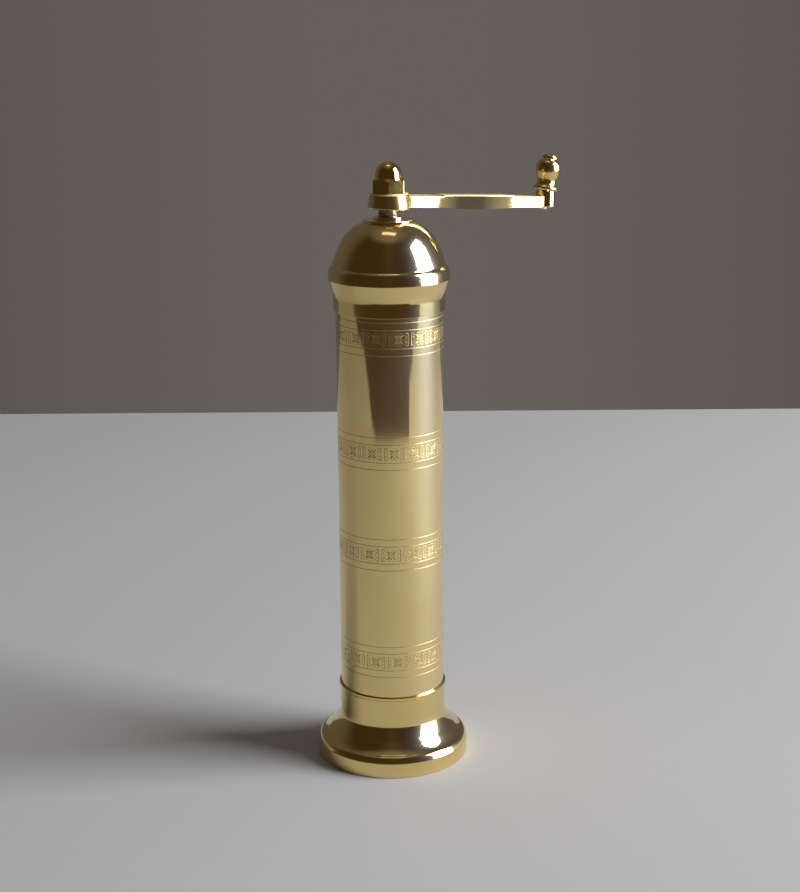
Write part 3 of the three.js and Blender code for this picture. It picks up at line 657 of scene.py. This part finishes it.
def make_tube(finish, engraved):
    bore = TUBE_RADIUS - TUBE_WALL
    steps = CELLS * CELL_COLUMNS
    bm = bmesh.new()
    chain = [(bore, TUBE_TOP_Z), (bore, TUBE_LOW_Z), (TUBE_RADIUS, TUBE_LOW_Z)]
    for height in BAND_TURNS:
        for offset in RING_LINES[:2]:
            chain += ring_line(height + offset)
        chain.append((TUBE_RADIUS, height - CELL_HALF_HEIGHT))
        spin_chain(bm, chain, steps, closed=False)
        chain = [(TUBE_RADIUS, height + CELL_HALF_HEIGHT)]
        for offset in RING_LINES[2:]:
            chain += ring_line(height + offset)
    chain += rounded([(TUBE_RADIUS, TUBE_TOP_Z - 1), (TUBE_RADIUS, TUBE_TOP_Z, EDGE), (bore, TUBE_TOP_Z)])[1:]
    spin_chain(bm, chain, steps, closed=False)
    for height, columns in BAND_TURNS.items():
        cell = flat_cell()
        wrap_cell(cell, height)
        add_copies(bm, cell, CELLS, columns / CELL_COLUMNS)
    bmesh.ops.remove_doubles(bm, verts=bm.verts, dist=2e-6)
    bmesh.ops.recalc_face_normals(bm, faces=bm.faces)
    for face in bm.faces:
        middle = face.calc_center_median() / MM
        radius = math.hypot(middle.x, middle.y)
        near_wall = TUBE_RADIUS - 0.2 < radius < TUBE_RADIUS - 0.01
        if near_wall and TUBE_LOW_Z + 5 < middle.z < TUBE_TOP_Z - 1.5:
            face.material_index = 1
    piece = dress(bm, "body_tube", finish, weighted=False)
    piece.data.materials.append(engraved)
    smooth_wall(piece.data)
    return piece


def smooth_wall(mesh):
    """Gives the tube's outer wall the normals of a true cylinder, up to the edge of every cut."""
    normals = [(0, 0, 0)] * len(mesh.loops)
    for face in mesh.polygons:
        if face.material_index:
            continue
        centre = face.center
        outward = Vector((centre.x, centre.y, 0)).normalized()
        if face.normal.dot(outward) < 0.99 or centre.xy.length / MM < TUBE_RADIUS - 0.1:
            continue
        for loop in face.loop_indices:
            spot = mesh.vertices[mesh.loops[loop].vertex_index].co
            normals[loop] = Vector((spot.x, spot.y, 0)).normalized()
    mesh.normals_split_custom_set(normals)


# Lid


def make_lid(finish):
    low, high = ends("lid_dome")
    skirt_bore = TUBE_RADIUS + FIT_GAP
    skirt = skirt_bore + 0.55
    flange = high.x + 0.1
    bevel_z = low.z + 5.3
    flange_z = bevel_z + 5.8
    shoulder = (flange - 1.0, flange_z + 4.25)
    dome_z = flange_z + 5.4
    dome = flange - 1.7
    crown = ends("lid_bush")[1].x + 0.1
    crown_z = high.z - 0.4
    opening = crown - 3.4
    wall = 1.6
    seat = TUBE_RADIUS - TUBE_WALL
    run = dome - crown
    rise = crown_z - dome_z
    profile = [
        (skirt_bore, low.z, 0.12),
        (skirt, low.z, 0.12),
        *curve((skirt, bevel_z - 1.3), (skirt, bevel_z), (skirt + 0.15, bevel_z + 0.9),
               (skirt + 0.45, bevel_z + 2.0), 8),
        (flange, flange_z, 0.12),
        *curve((flange - 0.02, flange_z + 0.5), (flange - 0.05, flange_z + 2.5),
               (flange - 0.35, flange_z + 3.7), shoulder, 10),
        *curve(shoulder, (flange - 1.25, flange_z + 4.45), (dome + 0.15, flange_z + 4.7), (dome, dome_z), 8),
        *curve((dome, dome_z), (dome - run * 0.18, dome_z + rise * 0.41),
               (dome - run * 0.38, dome_z + rise * 0.82), (crown, crown_z), 28),
        (opening, crown_z),
        (opening, high.z - wall),
        *reversed(curve((dome - wall, dome_z), (dome - run * 0.22 - 1.5, dome_z + rise * 0.36),
                        (dome - run * 0.43 - 0.8, dome_z + rise * 0.76), (crown - 0.5, high.z - wall), 12)),
        (dome - wall, dome_z - 1.0, 0.5),
        (seat, bevel_z + 2.3, 0.5),
        (seat, TUBE_TOP_Z, 0.1),
        (skirt_bore, TUBE_TOP_Z),
    ]
    return make_turned("lid_dome", profile, 144, finish)


def make_lid_bush(finish):
    low, high = ends("lid_bush")
    seat = ends("lid_dome")[1].z - 0.4
    disc, disc_z = high.x + 0.1, high.z - 1.0
    bore = SHAFT_RADIUS + RUNNING_GAP
    sleeve = bore + 1.35
    profile = [
        (bore, low.z, 0.15), (sleeve, low.z, 0.15), (sleeve, seat), (disc, seat, 0.1),
        (disc, disc_z, 0.25), (sleeve, disc_z, 0.1), (sleeve, high.z, 0.25), (bore, high.z, 0.2),
    ]
    return make_turned("lid_bush", profile, 96, finish)


# Crank

CRANK_FRAME = shift(0, 0, HUB_Z) @ turn(CRANK_ANGLE, "Z")
PIN_FRAME = CRANK_FRAME @ shift(ARM_LENGTH, 0, KNOB_SEAT.z - HUB_Z) @ turn(PIN_LEAN, "Y")

# Crank arm, measured along it from the shaft: where the two wide ends stop, and its half widths
NEAR_END, FAR_START, ARM_TIP = 20.7, 53.0, 66.3
ARM_WIDE, ARM_WAIST_BACK = 4.1, 1.2
ARM_HALF_HEIGHT = 1.95
ARM_DROP = 5.4


def swell(x):
    """1 in the middle of the waist and 0 at its ends."""
    share = (x - NEAR_END) / (FAR_START - NEAR_END)
    return math.sin(math.pi * min(max(share, 0), 1))


def arm_section(x):
    """Front and back of the arm, its top, bottom, front draft and edge rounding at a place along it."""
    front = back = ARM_WIDE
    top, bottom, edge = ARM_HALF_HEIGHT, -ARM_HALF_HEIGHT - 0.15, 0.4
    if x < NEAR_END:
        front = back = ARM_WIDE + max(0, 8.4 - x) ** 2 * 0.09
    elif x > FAR_START:
        front = back = ARM_WIDE - 0.8 * max(0, (x - ARM_TIP + 1.1) / 1.1) ** 2
    else:
        step = max(0, 1 - min(x - NEAR_END, FAR_START - x) / 0.9) ** 2.2
        front = ARM_WIDE - 0.1 + 0.1 * step
        back = ARM_WAIST_BACK + (ARM_WIDE - ARM_WAIST_BACK) * step
        top = 2.42 - 0.47 * step
        bottom, edge = -2.1 - 0.5 * swell(x), 0.4 - 0.12 * (1 - step)
    dip = ease((x - NEAR_END + 5) / 6) * ease((FAR_START + 0.6 - x) / 4.2)
    return front, back, top, bottom, 0.07 - 0.2 * dip, edge


def section_ring(front, back, top, bottom, draft, edge):
    """Points round the arm: a block with rounded edges whose front leans by the draft."""
    lean = draft * (top - bottom) / 2
    return rounded([
        (back - lean, top, edge), (-front + lean, top, edge),
        (-front - lean, bottom, edge * 0.8), (back + lean, bottom, edge * 0.8),
    ], 6)


def arm_stations():
    """Places along the arm, closer together where its width changes."""
    near = [4.6 + 0.4 * i for i in range(10)] + [8.6 + 1.6 * i for i in range(6)]
    near += [NEAR_END - 4 + 0.5 * i for i in range(8)] + [NEAR_END - 0.12, NEAR_END]
    shoulder = [0.06, 0.15, 0.3, 0.5, 0.7, 0.95]
    near += [NEAR_END + s for s in shoulder]
    first, last = NEAR_END + 0.95, FAR_START - 0.95
    waist = [first + (last - first) * i / 20 for i in range(1, 20)]
    far = [FAR_START - s for s in reversed(shoulder)]
    far += [FAR_START, FAR_START + 0.12] + [FAR_START + 0.4 * i for i in range(1, 4)]
    far += [FAR_START + 1.2 + 2 * i for i in range(1, 6)] + [ARM_TIP - 1.1 + 0.22 * i for i in range(6)]
    return near + waist + far


def arm_block():
    """The arm as one skin drawn through its cross sections."""
    stations = arm_stations()
    rings = [section_ring(*arm_section(x)) for x in stations]
    around = len(rings[0])
    bm = bmesh.new()
    bmesh.ops.create_grid(bm, x_segments=len(stations) - 1, y_segments=around, size=0.5)
    for vert in bm.verts:
        i = round((vert.co.x + 0.5) * (len(stations) - 1))
        j = round((vert.co.y + 0.5) * around) % around
        vert.co = Vector((stations[i], *rings[i][j])) * MM
    bmesh.ops.remove_doubles(bm, verts=bm.verts, dist=1e-7)
    bmesh.ops.holes_fill(bm, edges=[e for e in bm.edges if e.is_boundary], sides=0)
    bmesh.ops.recalc_face_normals(bm, faces=bm.faces)
    return bm


def make_crank_hub():
    """The hub, set a little off the shaft, with its lower edge sloping as the casting's does."""
    radius = HUB_RADIUS - 0.25
    hub = turned(rounded([
        (0, 0), (radius, 0, 0.55), (radius - 0.25, 1.9, 0.8), (radius - 1.05, HUB_HEIGHT, 0.7),
        (0, HUB_HEIGHT),
    ], 6), 96)
    place(hub, shift(0.35))
    for vert in hub.verts:
        share = max(0, 1 - vert.co.z / MM / (HUB_HEIGHT * 0.6))
        vert.co.z -= vert.co.x * 0.045 * share
    return hub


def make_crank_arm(finish, top_finish):
    tilt = shift(0, 0, HUB_HEIGHT / 2) @ turn(math.atan2(ARM_DROP, ARM_LENGTH), "Y")
    boss, boss_low = 3.6, HUB_HEIGHT / 2 - ARM_DROP - ARM_HALF_HEIGHT
    boss_top = boss_low + 12
    end_boss = turned(rounded([(0, boss_low), (boss, boss_low, 0.5), (boss, boss_top), (0, boss_top)]), 64)
    place(end_boss, shift(ARM_LENGTH, 0, 0))
    start, half = ARM_TIP - 2, 2.4
    neck = prism([(start, -half), (ARM_LENGTH, -half), (ARM_LENGTH, half), (start, half)],
                 -ARM_HALF_HEIGHT + 0.1, ARM_HALF_HEIGHT - 0.1)
    body = combined(make_crank_hub(), [place(arm_block(), tilt), place(neck, tilt), end_boss], "UNION")
    pin_tilt = shift(ARM_LENGTH, 0, KNOB_SEAT.z - HUB_Z) @ turn(PIN_LEAN, "Y")
    over = place(cylinder(14, 0, 14, 32), pin_tilt)
    hole = place(cylinder(PIN_RADIUS + FIT_GAP, -16, 4, 32), pin_tilt)
    side = SQUARE_HALF + 0.15
    square = block(side, side, -2, HUB_HEIGHT + 2)
    body = combined(body, [over, hole, square], "DIFFERENCE")
    for face in body.faces:
        face.normal_update()
        face.material_index = 1 if face.normal.z > 0.45 else 0
    piece = dress(place(body, CRANK_FRAME), "crank_arm", finish, CRANK_FRAME)
    piece.data.materials.append(top_finish)
    return piece


def make_knob(finish):
    flange, neck, bulb, top = 4.6, 3.45, 4.6, 2.6
    bore = PIN_RADIUS + RUNNING_GAP

    def at(share):
        return RUNNING_GAP + share * KNOB_HEIGHT

    flange_end, waist, belly = (flange - 0.35, at(0.125)), (neck, at(0.29)), (bulb, at(0.71))
    profile = [
        (bore, at(0), 0.1),
        (flange - 0.15, at(0), 0.25),
        *curve((flange - 0.1, at(0.03)), (flange + 0.12, at(0.05)), (flange + 0.08, at(0.1)), flange_end, 6),
        *curve(flange_end, (neck + 0.55, at(0.15)), (neck + 0.02, at(0.2)), waist, 8),
        *curve(waist, (neck, at(0.45)), (bulb, at(0.51)), belly, 12),
        *curve(belly, (bulb, at(0.88)), (top + 1.2, at(0.99)), (top, at(1)), 12),
        (bore, at(1)),
    ]
    return make_turned("crank_knob", profile, 72, finish, PIN_FRAME)


def make_knob_pin(finish):
    head, tail, boss_height = 2.85, 2.0, 5.8
    head_z = 2 * RUNNING_GAP + KNOB_HEIGHT
    head_top = head_z + 2.0
    tail_z = -boss_height / math.cos(PIN_LEAN) - tail * math.tan(PIN_LEAN)
    profile = [
        (0, tail_z - 0.6),
        (tail * 0.7, tail_z - 0.6, 0.2),
        (tail, tail_z, 0.15),
        (PIN_RADIUS, tail_z),
        (PIN_RADIUS, head_z),
        (head, head_z, 0.3),
        *curve((head, head_z + 0.5), (head, head_z + 1.5), (head * 0.72, head_top), (0, head_top), 12),
    ]
    return make_turned("knob_pin", profile, 64, finish, PIN_FRAME)


def make_acorn_nut(finish):
    low, high = ends("acorn_nut")
    corner = high.x / math.cos(math.pi / 6)
    rim, shoulder, hex_top = corner + 0.06, corner - 0.75, low.z + 4.9
    body = hexagon(corner, low.z, hex_top)
    upright = [e for e in body.edges if abs(e.verts[0].co.z - e.verts[1].co.z) > 1e-4]
    round_edges(body, upright, 0.2, 3)
    chamfer = turned(rounded([
        (0, low.z), (shoulder, low.z, 0.2), (rim, low.z + 0.55, 0.2),
        (rim, hex_top - 0.55, 0.2), (shoulder, hex_top, 0.2), (0, hex_top),
    ]), 96)
    body = combined(body, [chamfer], "INTERSECT")
    dome, arc_steps = 4.6, 14
    step, centre, dome_foot = dome + 0.25, high.z - dome, (dome, hex_top + 0.4)
    angles = [math.pi / 2 * i / arc_steps for i in range(1, arc_steps)]
    cap = turned([
        (0, hex_top - 1),
        *rounded([(step, hex_top - 1), (step, hex_top + 0.25, 0.15), dome_foot])[:-1],
        dome_foot,
        (dome, centre),
        *((dome * math.cos(a), centre + dome * math.sin(a)) for a in angles),
        (0, high.z),
    ], 96)
    body = combined(body, [cap], "UNION")
    hole = cylinder(UPPER_THREAD + RUNNING_GAP, low.z - 1, high.z - 2, 48)
    return dress(combined(body, [hole], "DIFFERENCE"), "acorn_nut", finish)


# Shaft and grinder


def thread_ridge(radius, depth, pitch, bottom, turns):
    """A helical ridge, as a closed solid that sits on the core of a thread."""
    steps = 28
    root, half, crest_half = radius - depth - 0.12, pitch * 0.42, 0.08
    bm = bmesh.new()
    section = [
        (root, bottom - half), (radius, bottom - crest_half),
        (radius, bottom + crest_half), (root, bottom + half),
    ]
    face = bm.faces.new([bm.verts.new((r * MM, 0, z * MM)) for r, z in section])
    bmesh.ops.spin(
        bm, geom=[face], cent=(0, 0, 0), axis=(0, 0, 1), dvec=(0, 0, pitch * MM / steps),
        angle=2 * math.pi * turns, steps=int(steps * turns), use_merge=False, use_normal_flip=False,
        use_duplicate=False,
    )
    bmesh.ops.recalc_face_normals(bm, faces=bm.faces)
    return bm


def make_shaft(finish):
    """The shaft: square at both ends, rippled by the lathe where it shows, threaded at the top."""
    low, high = ends("drive_shaft")
    cone_low, cone_high = ends("inner_burr")
    square_top = HUB_TOP_Z - 0.7
    round_part = rounded([
        (0, cone_high.z), (SHAFT_RADIUS, cone_high.z, 0.2), (SHAFT_RADIUS, HUB_Z, 0.35), (0, HUB_Z),
    ])
    ripple_low, ripple_high, ripple_depth = ends("lid_bush")[1].z - 3, HUB_Z - 0.3, 0.07
    ripple_steps = 28
    ripple = []
    for i in range(ripple_steps + 1):
        z = ripple_low + (ripple_high - ripple_low) * i / ripple_steps
        ripple.append((SHAFT_RADIUS - ripple_depth + ripple_depth * math.cos(math.pi * i / 2), z))
    split = next(i for i, p in enumerate(round_part) if p[1] > ripple_low)
    body = turned(round_part[:split] + ripple + round_part[split:], 72)
    depth, pitch = 0.35, 0.8
    core = UPPER_THREAD - depth
    stub = turned(rounded([
        (0, square_top - 1), (core, square_top - 1), (core, high.z, 0.4), (0, high.z),
    ]), 48)
    toe_top = cone_low.z + 1.4
    toe = turned(rounded([
        (0, low.z), (LOWER_THREAD, low.z, 0.5), (LOWER_THREAD, toe_top), (0, toe_top),
    ]), 48)
    upper_square = block(SQUARE_HALF, SQUARE_HALF, HUB_Z - 1, square_top, 0.15)
    parts = [
        block(SQUARE_HALF, SQUARE_HALF, cone_low.z + 0.4, cone_high.z + 1, 0.15),
        place(upper_square, turn(CRANK_ANGLE, "Z")),
        stub,
        toe,
        thread_ridge(UPPER_THREAD, depth, pitch, square_top + 0.4, (high.z - square_top - 0.9) / pitch),
    ]
    return dress(combined(body, parts, "UNION"), "drive_shaft", finish)


def make_spring(finish):
    """A compression spring whose end coils lie flat and closed."""
    low, high = ends("burr_spring")
    wire = 1.2
    radius = high.x - wire / 2
    turns = 6.0
    steps = int(turns * 28)
    path = bpy.data.curves.new("work_spring", "CURVE")
    path.dimensions = "3D"
    line = path.splines.new("POLY")
    line.points.add(steps)
    bottom, top = low.z + wire / 2, high.z - wire / 2
    for i, point in enumerate(line.points):
        share = i / steps
        angle = 2 * math.pi * turns * share
        rest = min(max((share * turns - 0.75) / (turns - 1.5), 0), 1)
        climb = 0.06 * share + 0.94 * (ease(rest) * 0.25 + rest * 0.75)
        height = bottom + (top - bottom) * climb
        point.co = (*(Vector((radius * math.cos(angle), radius * math.sin(angle), height)) * MM), 1)
    path.bevel_depth = wire / 2 * MM
    path.bevel_resolution = 4
    path.use_fill_caps = True
    holder = bpy.data.objects.new("work_spring", path)
    bpy.context.scene.collection.objects.link(holder)
    shown = holder.evaluated_get(bpy.context.evaluated_depsgraph_get())
    bm = bmesh.new()
    bm.from_mesh(shown.to_mesh())
    bpy.data.objects.remove(holder)
    bmesh.ops.remove_doubles(bm, verts=bm.verts, dist=1e-7)
    bmesh.ops.recalc_face_normals(bm, faces=bm.faces)
    piece = dress(bm, "burr_spring", finish, weighted=False)
    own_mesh(piece)
    return piece


def make_spring_bridge(finish):
    low, high = ends("spring_bridge")
    thick, width, bend = 1.8, 7.0, 1.0
    foot_top, crown = low.z + thick, high.z - thick
    screw_x = middle_x("spring_bridge_screw_1")
    outer = screw_x - 2 - RUNNING_GAP
    inner = outer - thick
    right = [(high.x, low.z), (high.x, foot_top), (outer, foot_top), (outer, high.z)]
    left = [(-x, z) for x, z in reversed(right)]
    under = [(-inner, low.z), (-inner, crown), (inner, crown), (inner, low.z)]
    strap = prism(right + left + under, -width / 2, width / 2)
    corners = []
    for edge in strap.edges:
        a, b = (v.co / MM for v in edge.verts)
        on_top = abs(abs(a.x) - outer) < 0.01 and a.y > high.z - 0.1
        beneath = abs(abs(a.x) - inner) < 0.01 and abs(a.y - crown) < 0.1
        if abs(a.z - b.z) > 1 and (on_top or beneath):
            corners.append(edge)
    round_edges(strap, corners, bend, 5)
    place(strap, turn(math.pi / 2, "X"))
    eye = turned(rounded([(0, crown), (high.y, crown, 0.2), (high.y, high.z, 0.2), (0, high.z)]), 72)
    body = combined(strap, [eye], "UNION")
    cuts = [cylinder(BRIDGE_SLEEVE + FIT_GAP, crown - 2, high.z + 2, 64)]
    for x in (screw_x, -screw_x):
        cuts.append(place(cylinder(SCREW_HOLE, low.z - 1, foot_top + 1, 32), shift(x, 0, 0)))
    return dress(combined(body, cuts, "DIFFERENCE"), "spring_bridge", finish)


def make_bridge_bush(finish):
    low, high = ends("bridge_bush")
    bore, top = SHAFT_RADIUS + RUNNING_GAP, high.z - 1
    profile = [
        (bore, low.z, 0.15), (BRIDGE_SLEEVE, low.z, 0.15), (BRIDGE_SLEEVE, top), (high.x, top, 0.15),
        (high.x, high.z, 0.25), (bore, high.z, 0.3),
    ]
    return make_turned("bridge_bush", profile, 72, finish)


def make_screw(node, finish, head_up):
    """A slotted pan-head screw, whose head sits above its seat or, turned over, below it."""
    low, high = ends(node)
    core, head, head_height = 1.25, 2.0, 1.4
    length = high.z - low.z - head_height
    body = turned(rounded([
        (0, -length), (0.9, -length), (core, -length + 0.5, 0.1), (core, 0), (head, 0, 0.1),
        (head, 0.8, 0.5), (1.35, head_height, 0.4), (0, head_height),
    ]), 48)
    body = combined(body, [block(3, 0.35, 0.7, 2.4)], "DIFFERENCE")
    x = middle_x(node)
    seat = low.z + length if head_up else high.z - length
    flip = turn(0 if head_up else math.pi, "X")
    return dress(place(body, shift(x, 0, seat) @ flip), node, finish, shift(x, 0, 0))


def make_lower_bridge(finish):
    low, high = ends("lower_bridge")
    bottom, above, below, half_width = high.z - 1.8, high.z + 1, low.z - 1, 4.5
    bore = 3 + RUNNING_GAP
    mouth, boss, boss_top = bore + 0.3, bore + 2.2, high.z - 0.1
    bar = block(high.x, half_width, bottom, high.z, 0.25)
    boss_body = turned(rounded([(0, low.z), (boss, low.z, 0.4), (boss, boss_top), (0, boss_top)]), 72)
    body = combined(bar, [boss_body], "UNION")
    thread = [(0, below), (mouth, below), (mouth, low.z), (bore, low.z + 0.3), (bore, above), (0, above)]
    cuts = [turned(thread, 64)]
    screw_x = middle_x("lower_bridge_screw_1")
    for x in (screw_x, -screw_x):
        cuts.append(place(cylinder(SCREW_HOLE, bottom - 1, above, 32), shift(x, 0, 0)))
    return dress(combined(body, cuts, "DIFFERENCE"), "lower_bridge", finish)


def make_adjusting_screw(finish):
    low, high = ends("adjusting_screw")
    head, head_top = high.x, low.z + 4
    core, stem = head - 0.15, 3.0
    body = turned(rounded([
        (0, low.z), (core, low.z, 0.6), (core, head_top, 0.5), (stem, head_top), (stem, high.z - 0.1, 0.4),
        (0, high.z),
    ]), 144)
    knurls, mouth, half = 36, head + 0.4, 0.42
    groove = prism([(mouth, -half), (head - 0.5, 0), (mouth, half)], low.z - 1, head_top + 0.5)
    grooves = bmesh.new()
    add_copies(grooves, groove, knurls)
    slot = block(9, 0.6, low.z - 1, low.z + 1.4)
    return dress(combined(body, [slot, grooves], "DIFFERENCE"), "adjusting_screw", finish)


def make_thrust_pad(finish):
    low, high = ends("thrust_pad")
    profile = [(0, low.z), (high.x, low.z, 0.15), (high.x, high.z, 0.35), (0, high.z)]
    return make_turned("thrust_pad", profile, 48, finish)


def make_spring_seat(finish):
    low, high = ends("spring_seat")
    bore = SHAFT_RADIUS + FIT_GAP
    profile = [(bore, low.z, 0.1), (high.x, low.z, 0.15), (high.x, high.z, 0.25), (bore, high.z, 0.2)]
    return make_turned("spring_seat", profile, 72, finish)


def make_burr_nut(finish):
    low, high = ends("burr_nut")
    corner = high.x / math.cos(math.pi / 6)
    rim = corner + 0.05
    chamfer = turned([(0, low.z), (corner - 0.55, low.z), (rim, low.z + 0.4), (rim, high.z), (0, high.z)], 64)
    body = combined(hexagon(corner, low.z, high.z), [chamfer], "INTERSECT")
    hole = cylinder(LOWER_THREAD + FIT_GAP, low.z - 1, high.z + 1, 40)
    return dress(combined(body, [hole], "DIFFERENCE"), "burr_nut", finish)


def repaint(node, finish):
    """A better material on a node whose shape is right as it is."""
    mesh = frame["nodes"][node].data
    mesh.materials.clear()
    mesh.materials.append(finish)


# Stage, light and camera


def make_table():
    """A plain cloth-covered table, darker near the window than where the photograph shows it."""
    bm = bmesh.new()
    bmesh.ops.create_cube(bm, size=1)
    width, depth = TABLE_RIGHT_X - TABLE_LEFT_X, TABLE_BACK_Y - TABLE_FRONT_Y
    bmesh.ops.scale(bm, vec=(width, depth, TABLE_THICKNESS), verts=bm.verts)
    middle = (TABLE_LEFT_X + width / 2, TABLE_FRONT_Y + depth / 2, -TABLE_THICKNESS / 2)
    bmesh.ops.translate(bm, vec=middle, verts=bm.verts)
    round_edges(bm, bm.edges, 4, 3)
    table = as_object(bm, "table_top")
    cloth = Finish("table_cloth")
    cloth.feed("Roughness", 0.9)
    cloth.feed("Specular IOR Level", 0.2)
    # Painted shade: the cloth turns darker towards the window, so the brass reflects a darker table there
    painted_shade_by_window = cloth.ranged(cloth.split(cloth.coordinates())["X"], 0.3, 0.7)
    cloth.feed("Base Color", cloth.mixed(painted_shade_by_window, CLOTH, CLOTH_PAINTED_SHADE))
    table.data.materials.append(cloth.material)


def make_dark_card():
    """A dark card curved round the front of the mill, seen only in the brass; it widens upwards.

    Its sides are angles in degrees from the camera's direction, seen from the mill's axis.
    """
    radius, low, height = 0.485, 0.001, 0.13
    bm = bmesh.new()
    bmesh.ops.create_grid(bm, x_segments=24, y_segments=24, size=0.5)
    for vert in bm.verts:
        rise = vert.co.y + 0.5
        crown = ease((rise - 0.42) / 0.12)
        left = -31 - 45 * rise**0.8 - 14 * crown
        right = 40 + 8 * rise + 18 * crown
        angle = math.radians(left + (right - left) * (vert.co.x + 0.5))
        vert.co = (radius * math.sin(angle), -radius * math.cos(angle), low + height * rise)
    card = as_object(bm, "dark_card")
    dark = Finish("dark_cloth")
    dark.feed("Base Color", (0, 0, 0))
    dark.feed("Specular IOR Level", 0)
    dark.feed("Emission Color", (0.055, 0.031, 0.006))
    dark.feed("Emission Strength", 1)
    card.data.materials.append(dark.material)
    card.visible_camera = card.visible_diffuse = card.visible_shadow = card.visible_transmission = False


def set_surroundings():
    """A plain grey room: a lit wall by the window, dark on the camera's side, paler overhead."""
    world = bpy.data.worlds.new("room")
    world.use_nodes = True
    bpy.context.scene.world = world
    room = Nodes(world.node_tree)
    direction = room.split(room.node("TexCoord")["Generated"])
    colour = DARK_ROOM
    for axis, start, end, wall in PALE_WALLS:
        colour = room.mixed(room.ranged(direction[axis], start, end, 0, 1, "SMOOTHSTEP"), colour, wall)
    fade = room.ranged(room.maths("ABSOLUTE", direction["X"]), 0.05, 0.26, 0.97, 0.74)
    room.fill(room.nodes["Background"], {"Color": colour, "Strength": fade})


def add_area(name, place_at, target, size, colour, power):
    light = bpy.data.lights.new(name, "AREA")
    light.shape = "RECTANGLE"
    light.size, light.size_y = size
    light.color = colour
    light.energy = power
    lamp = bpy.data.objects.new(name, light)
    lamp.location = place_at
    direction = Vector(target) - Vector(place_at)
    lamp.rotation_mode = "QUATERNION"
    lamp.rotation_quaternion = direction.to_track_quat("-Z", "Y")
    bpy.context.scene.collection.objects.link(lamp)
    return lamp


def set_lights():
    """Two panes of a window on the right, a small skylight for the gloss, and a soft fill."""
    daylight, white = (0.95, 1, 1.1), (1, 1, 1)
    add_area("window_low", (1.8, -0.3, 0.42), (0, -0.3, 0.42), (1.25, 0.98), daylight, 64)
    add_area("window_high", (1.8, -0.3, 1.52), (0, -0.3, 1.52), (1.25, 1.08), daylight, 70)
    sky = add_area("skylight", (0.02, 0.1, 2.6), (0, 0, 0), (0.85, 0.45), white, 1.2)
    sky.visible_diffuse = False
    fill = add_area("ceiling", (0, 0.3, 2.6), (0, 0, 0), (2.4, 2.4), white, 7)
    fill.visible_glossy = False


def set_camera():
    camera = bpy.data.cameras.new("photo_camera")
    camera.sensor_width = SENSOR_MM
    camera.lens = LENS_PX / PHOTO_HEIGHT_PX * SENSOR_MM
    camera.clip_start, camera.clip_end = 0.01, 20
    holder = bpy.data.objects.new("photo_camera", camera)
    bpy.context.scene.collection.objects.link(holder)
    holder.matrix_world = (
        Matrix.Translation(CAMERA_PLACE)
        @ Matrix.Rotation(math.pi / 2 - CAMERA_PITCH, 4, "X")
        @ Matrix.Rotation(-CAMERA_ROLL, 4, "Z")
    )
    bpy.context.scene.camera = holder


# Putting it together

bpy.context.scene.view_settings.view_transform = "Standard"

tube_brass = brass_finish("tube_brass", 0.05, 0.5, marks=0.06, veil=(0.55, 0.36, 2.1), smudge=0.02, dull=0.03)
foot_brass = brass_finish("foot_brass", 0.07, 0.3, marks=0.1, veil=(0.6, 0.32, 1.6))
lid_brass = brass_finish("lid_brass", 0.075, 0.3, marks=0.08, veil=(0.6, 0.32, 1.6))
nut_brass = brass_finish("nut_brass", 0.06, 0.0, marks=0.05)
crank_brass = crank_finish()
crank_top_brass = brass_finish("crank_top_brass", 0.5, 0.0, CRANK_FRAME, marks=0.0, dull=0.5)
knob_brass = brass_finish("knob_brass", 0.18, 0.0, PIN_FRAME, marks=0.0)
inner_brass = brass_finish("inner_brass", 0.3, 0.3)
engraved_brass = engraved_finish()
shaft_steel = steel_finish("shaft_steel", (0.34, 0.33, 0.31), (0.22, 0.21, 0.2), 0.14)
plain_steel = steel_finish("plain_steel", (0.52, 0.52, 0.52), (0.4, 0.39, 0.37), 0.28)
burr_steel = steel_finish("burr_steel", (0.42, 0.42, 0.43), (0.3, 0.3, 0.3), 0.36)
spring_steel = steel_finish("spring_steel", (0.4, 0.41, 0.43), (0.3, 0.3, 0.31), 0.25)

make_foot(foot_brass)
make_tube(tube_brass, engraved_brass)
make_lid(lid_brass)
make_lid_bush(lid_brass)
make_crank_arm(crank_brass, crank_top_brass)
make_knob(knob_brass)
make_knob_pin(knob_brass)
make_acorn_nut(nut_brass)
make_shaft(shaft_steel)
make_spring(spring_steel)
make_spring_bridge(plain_steel)
make_bridge_bush(inner_brass)
for number in (1, 2):
    make_screw(f"spring_bridge_screw_{number}", plain_steel, head_up=True)
    make_screw(f"lower_bridge_screw_{number}", plain_steel, head_up=False)
make_lower_bridge(plain_steel)
make_adjusting_screw(inner_brass)
make_thrust_pad(plain_steel)
make_spring_seat(plain_steel)
make_burr_nut(plain_steel)
repaint("outer_burr", burr_steel)
repaint("inner_burr", burr_steel)

make_table()
make_dark_card()
set_surroundings()
set_lights()
set_camera()
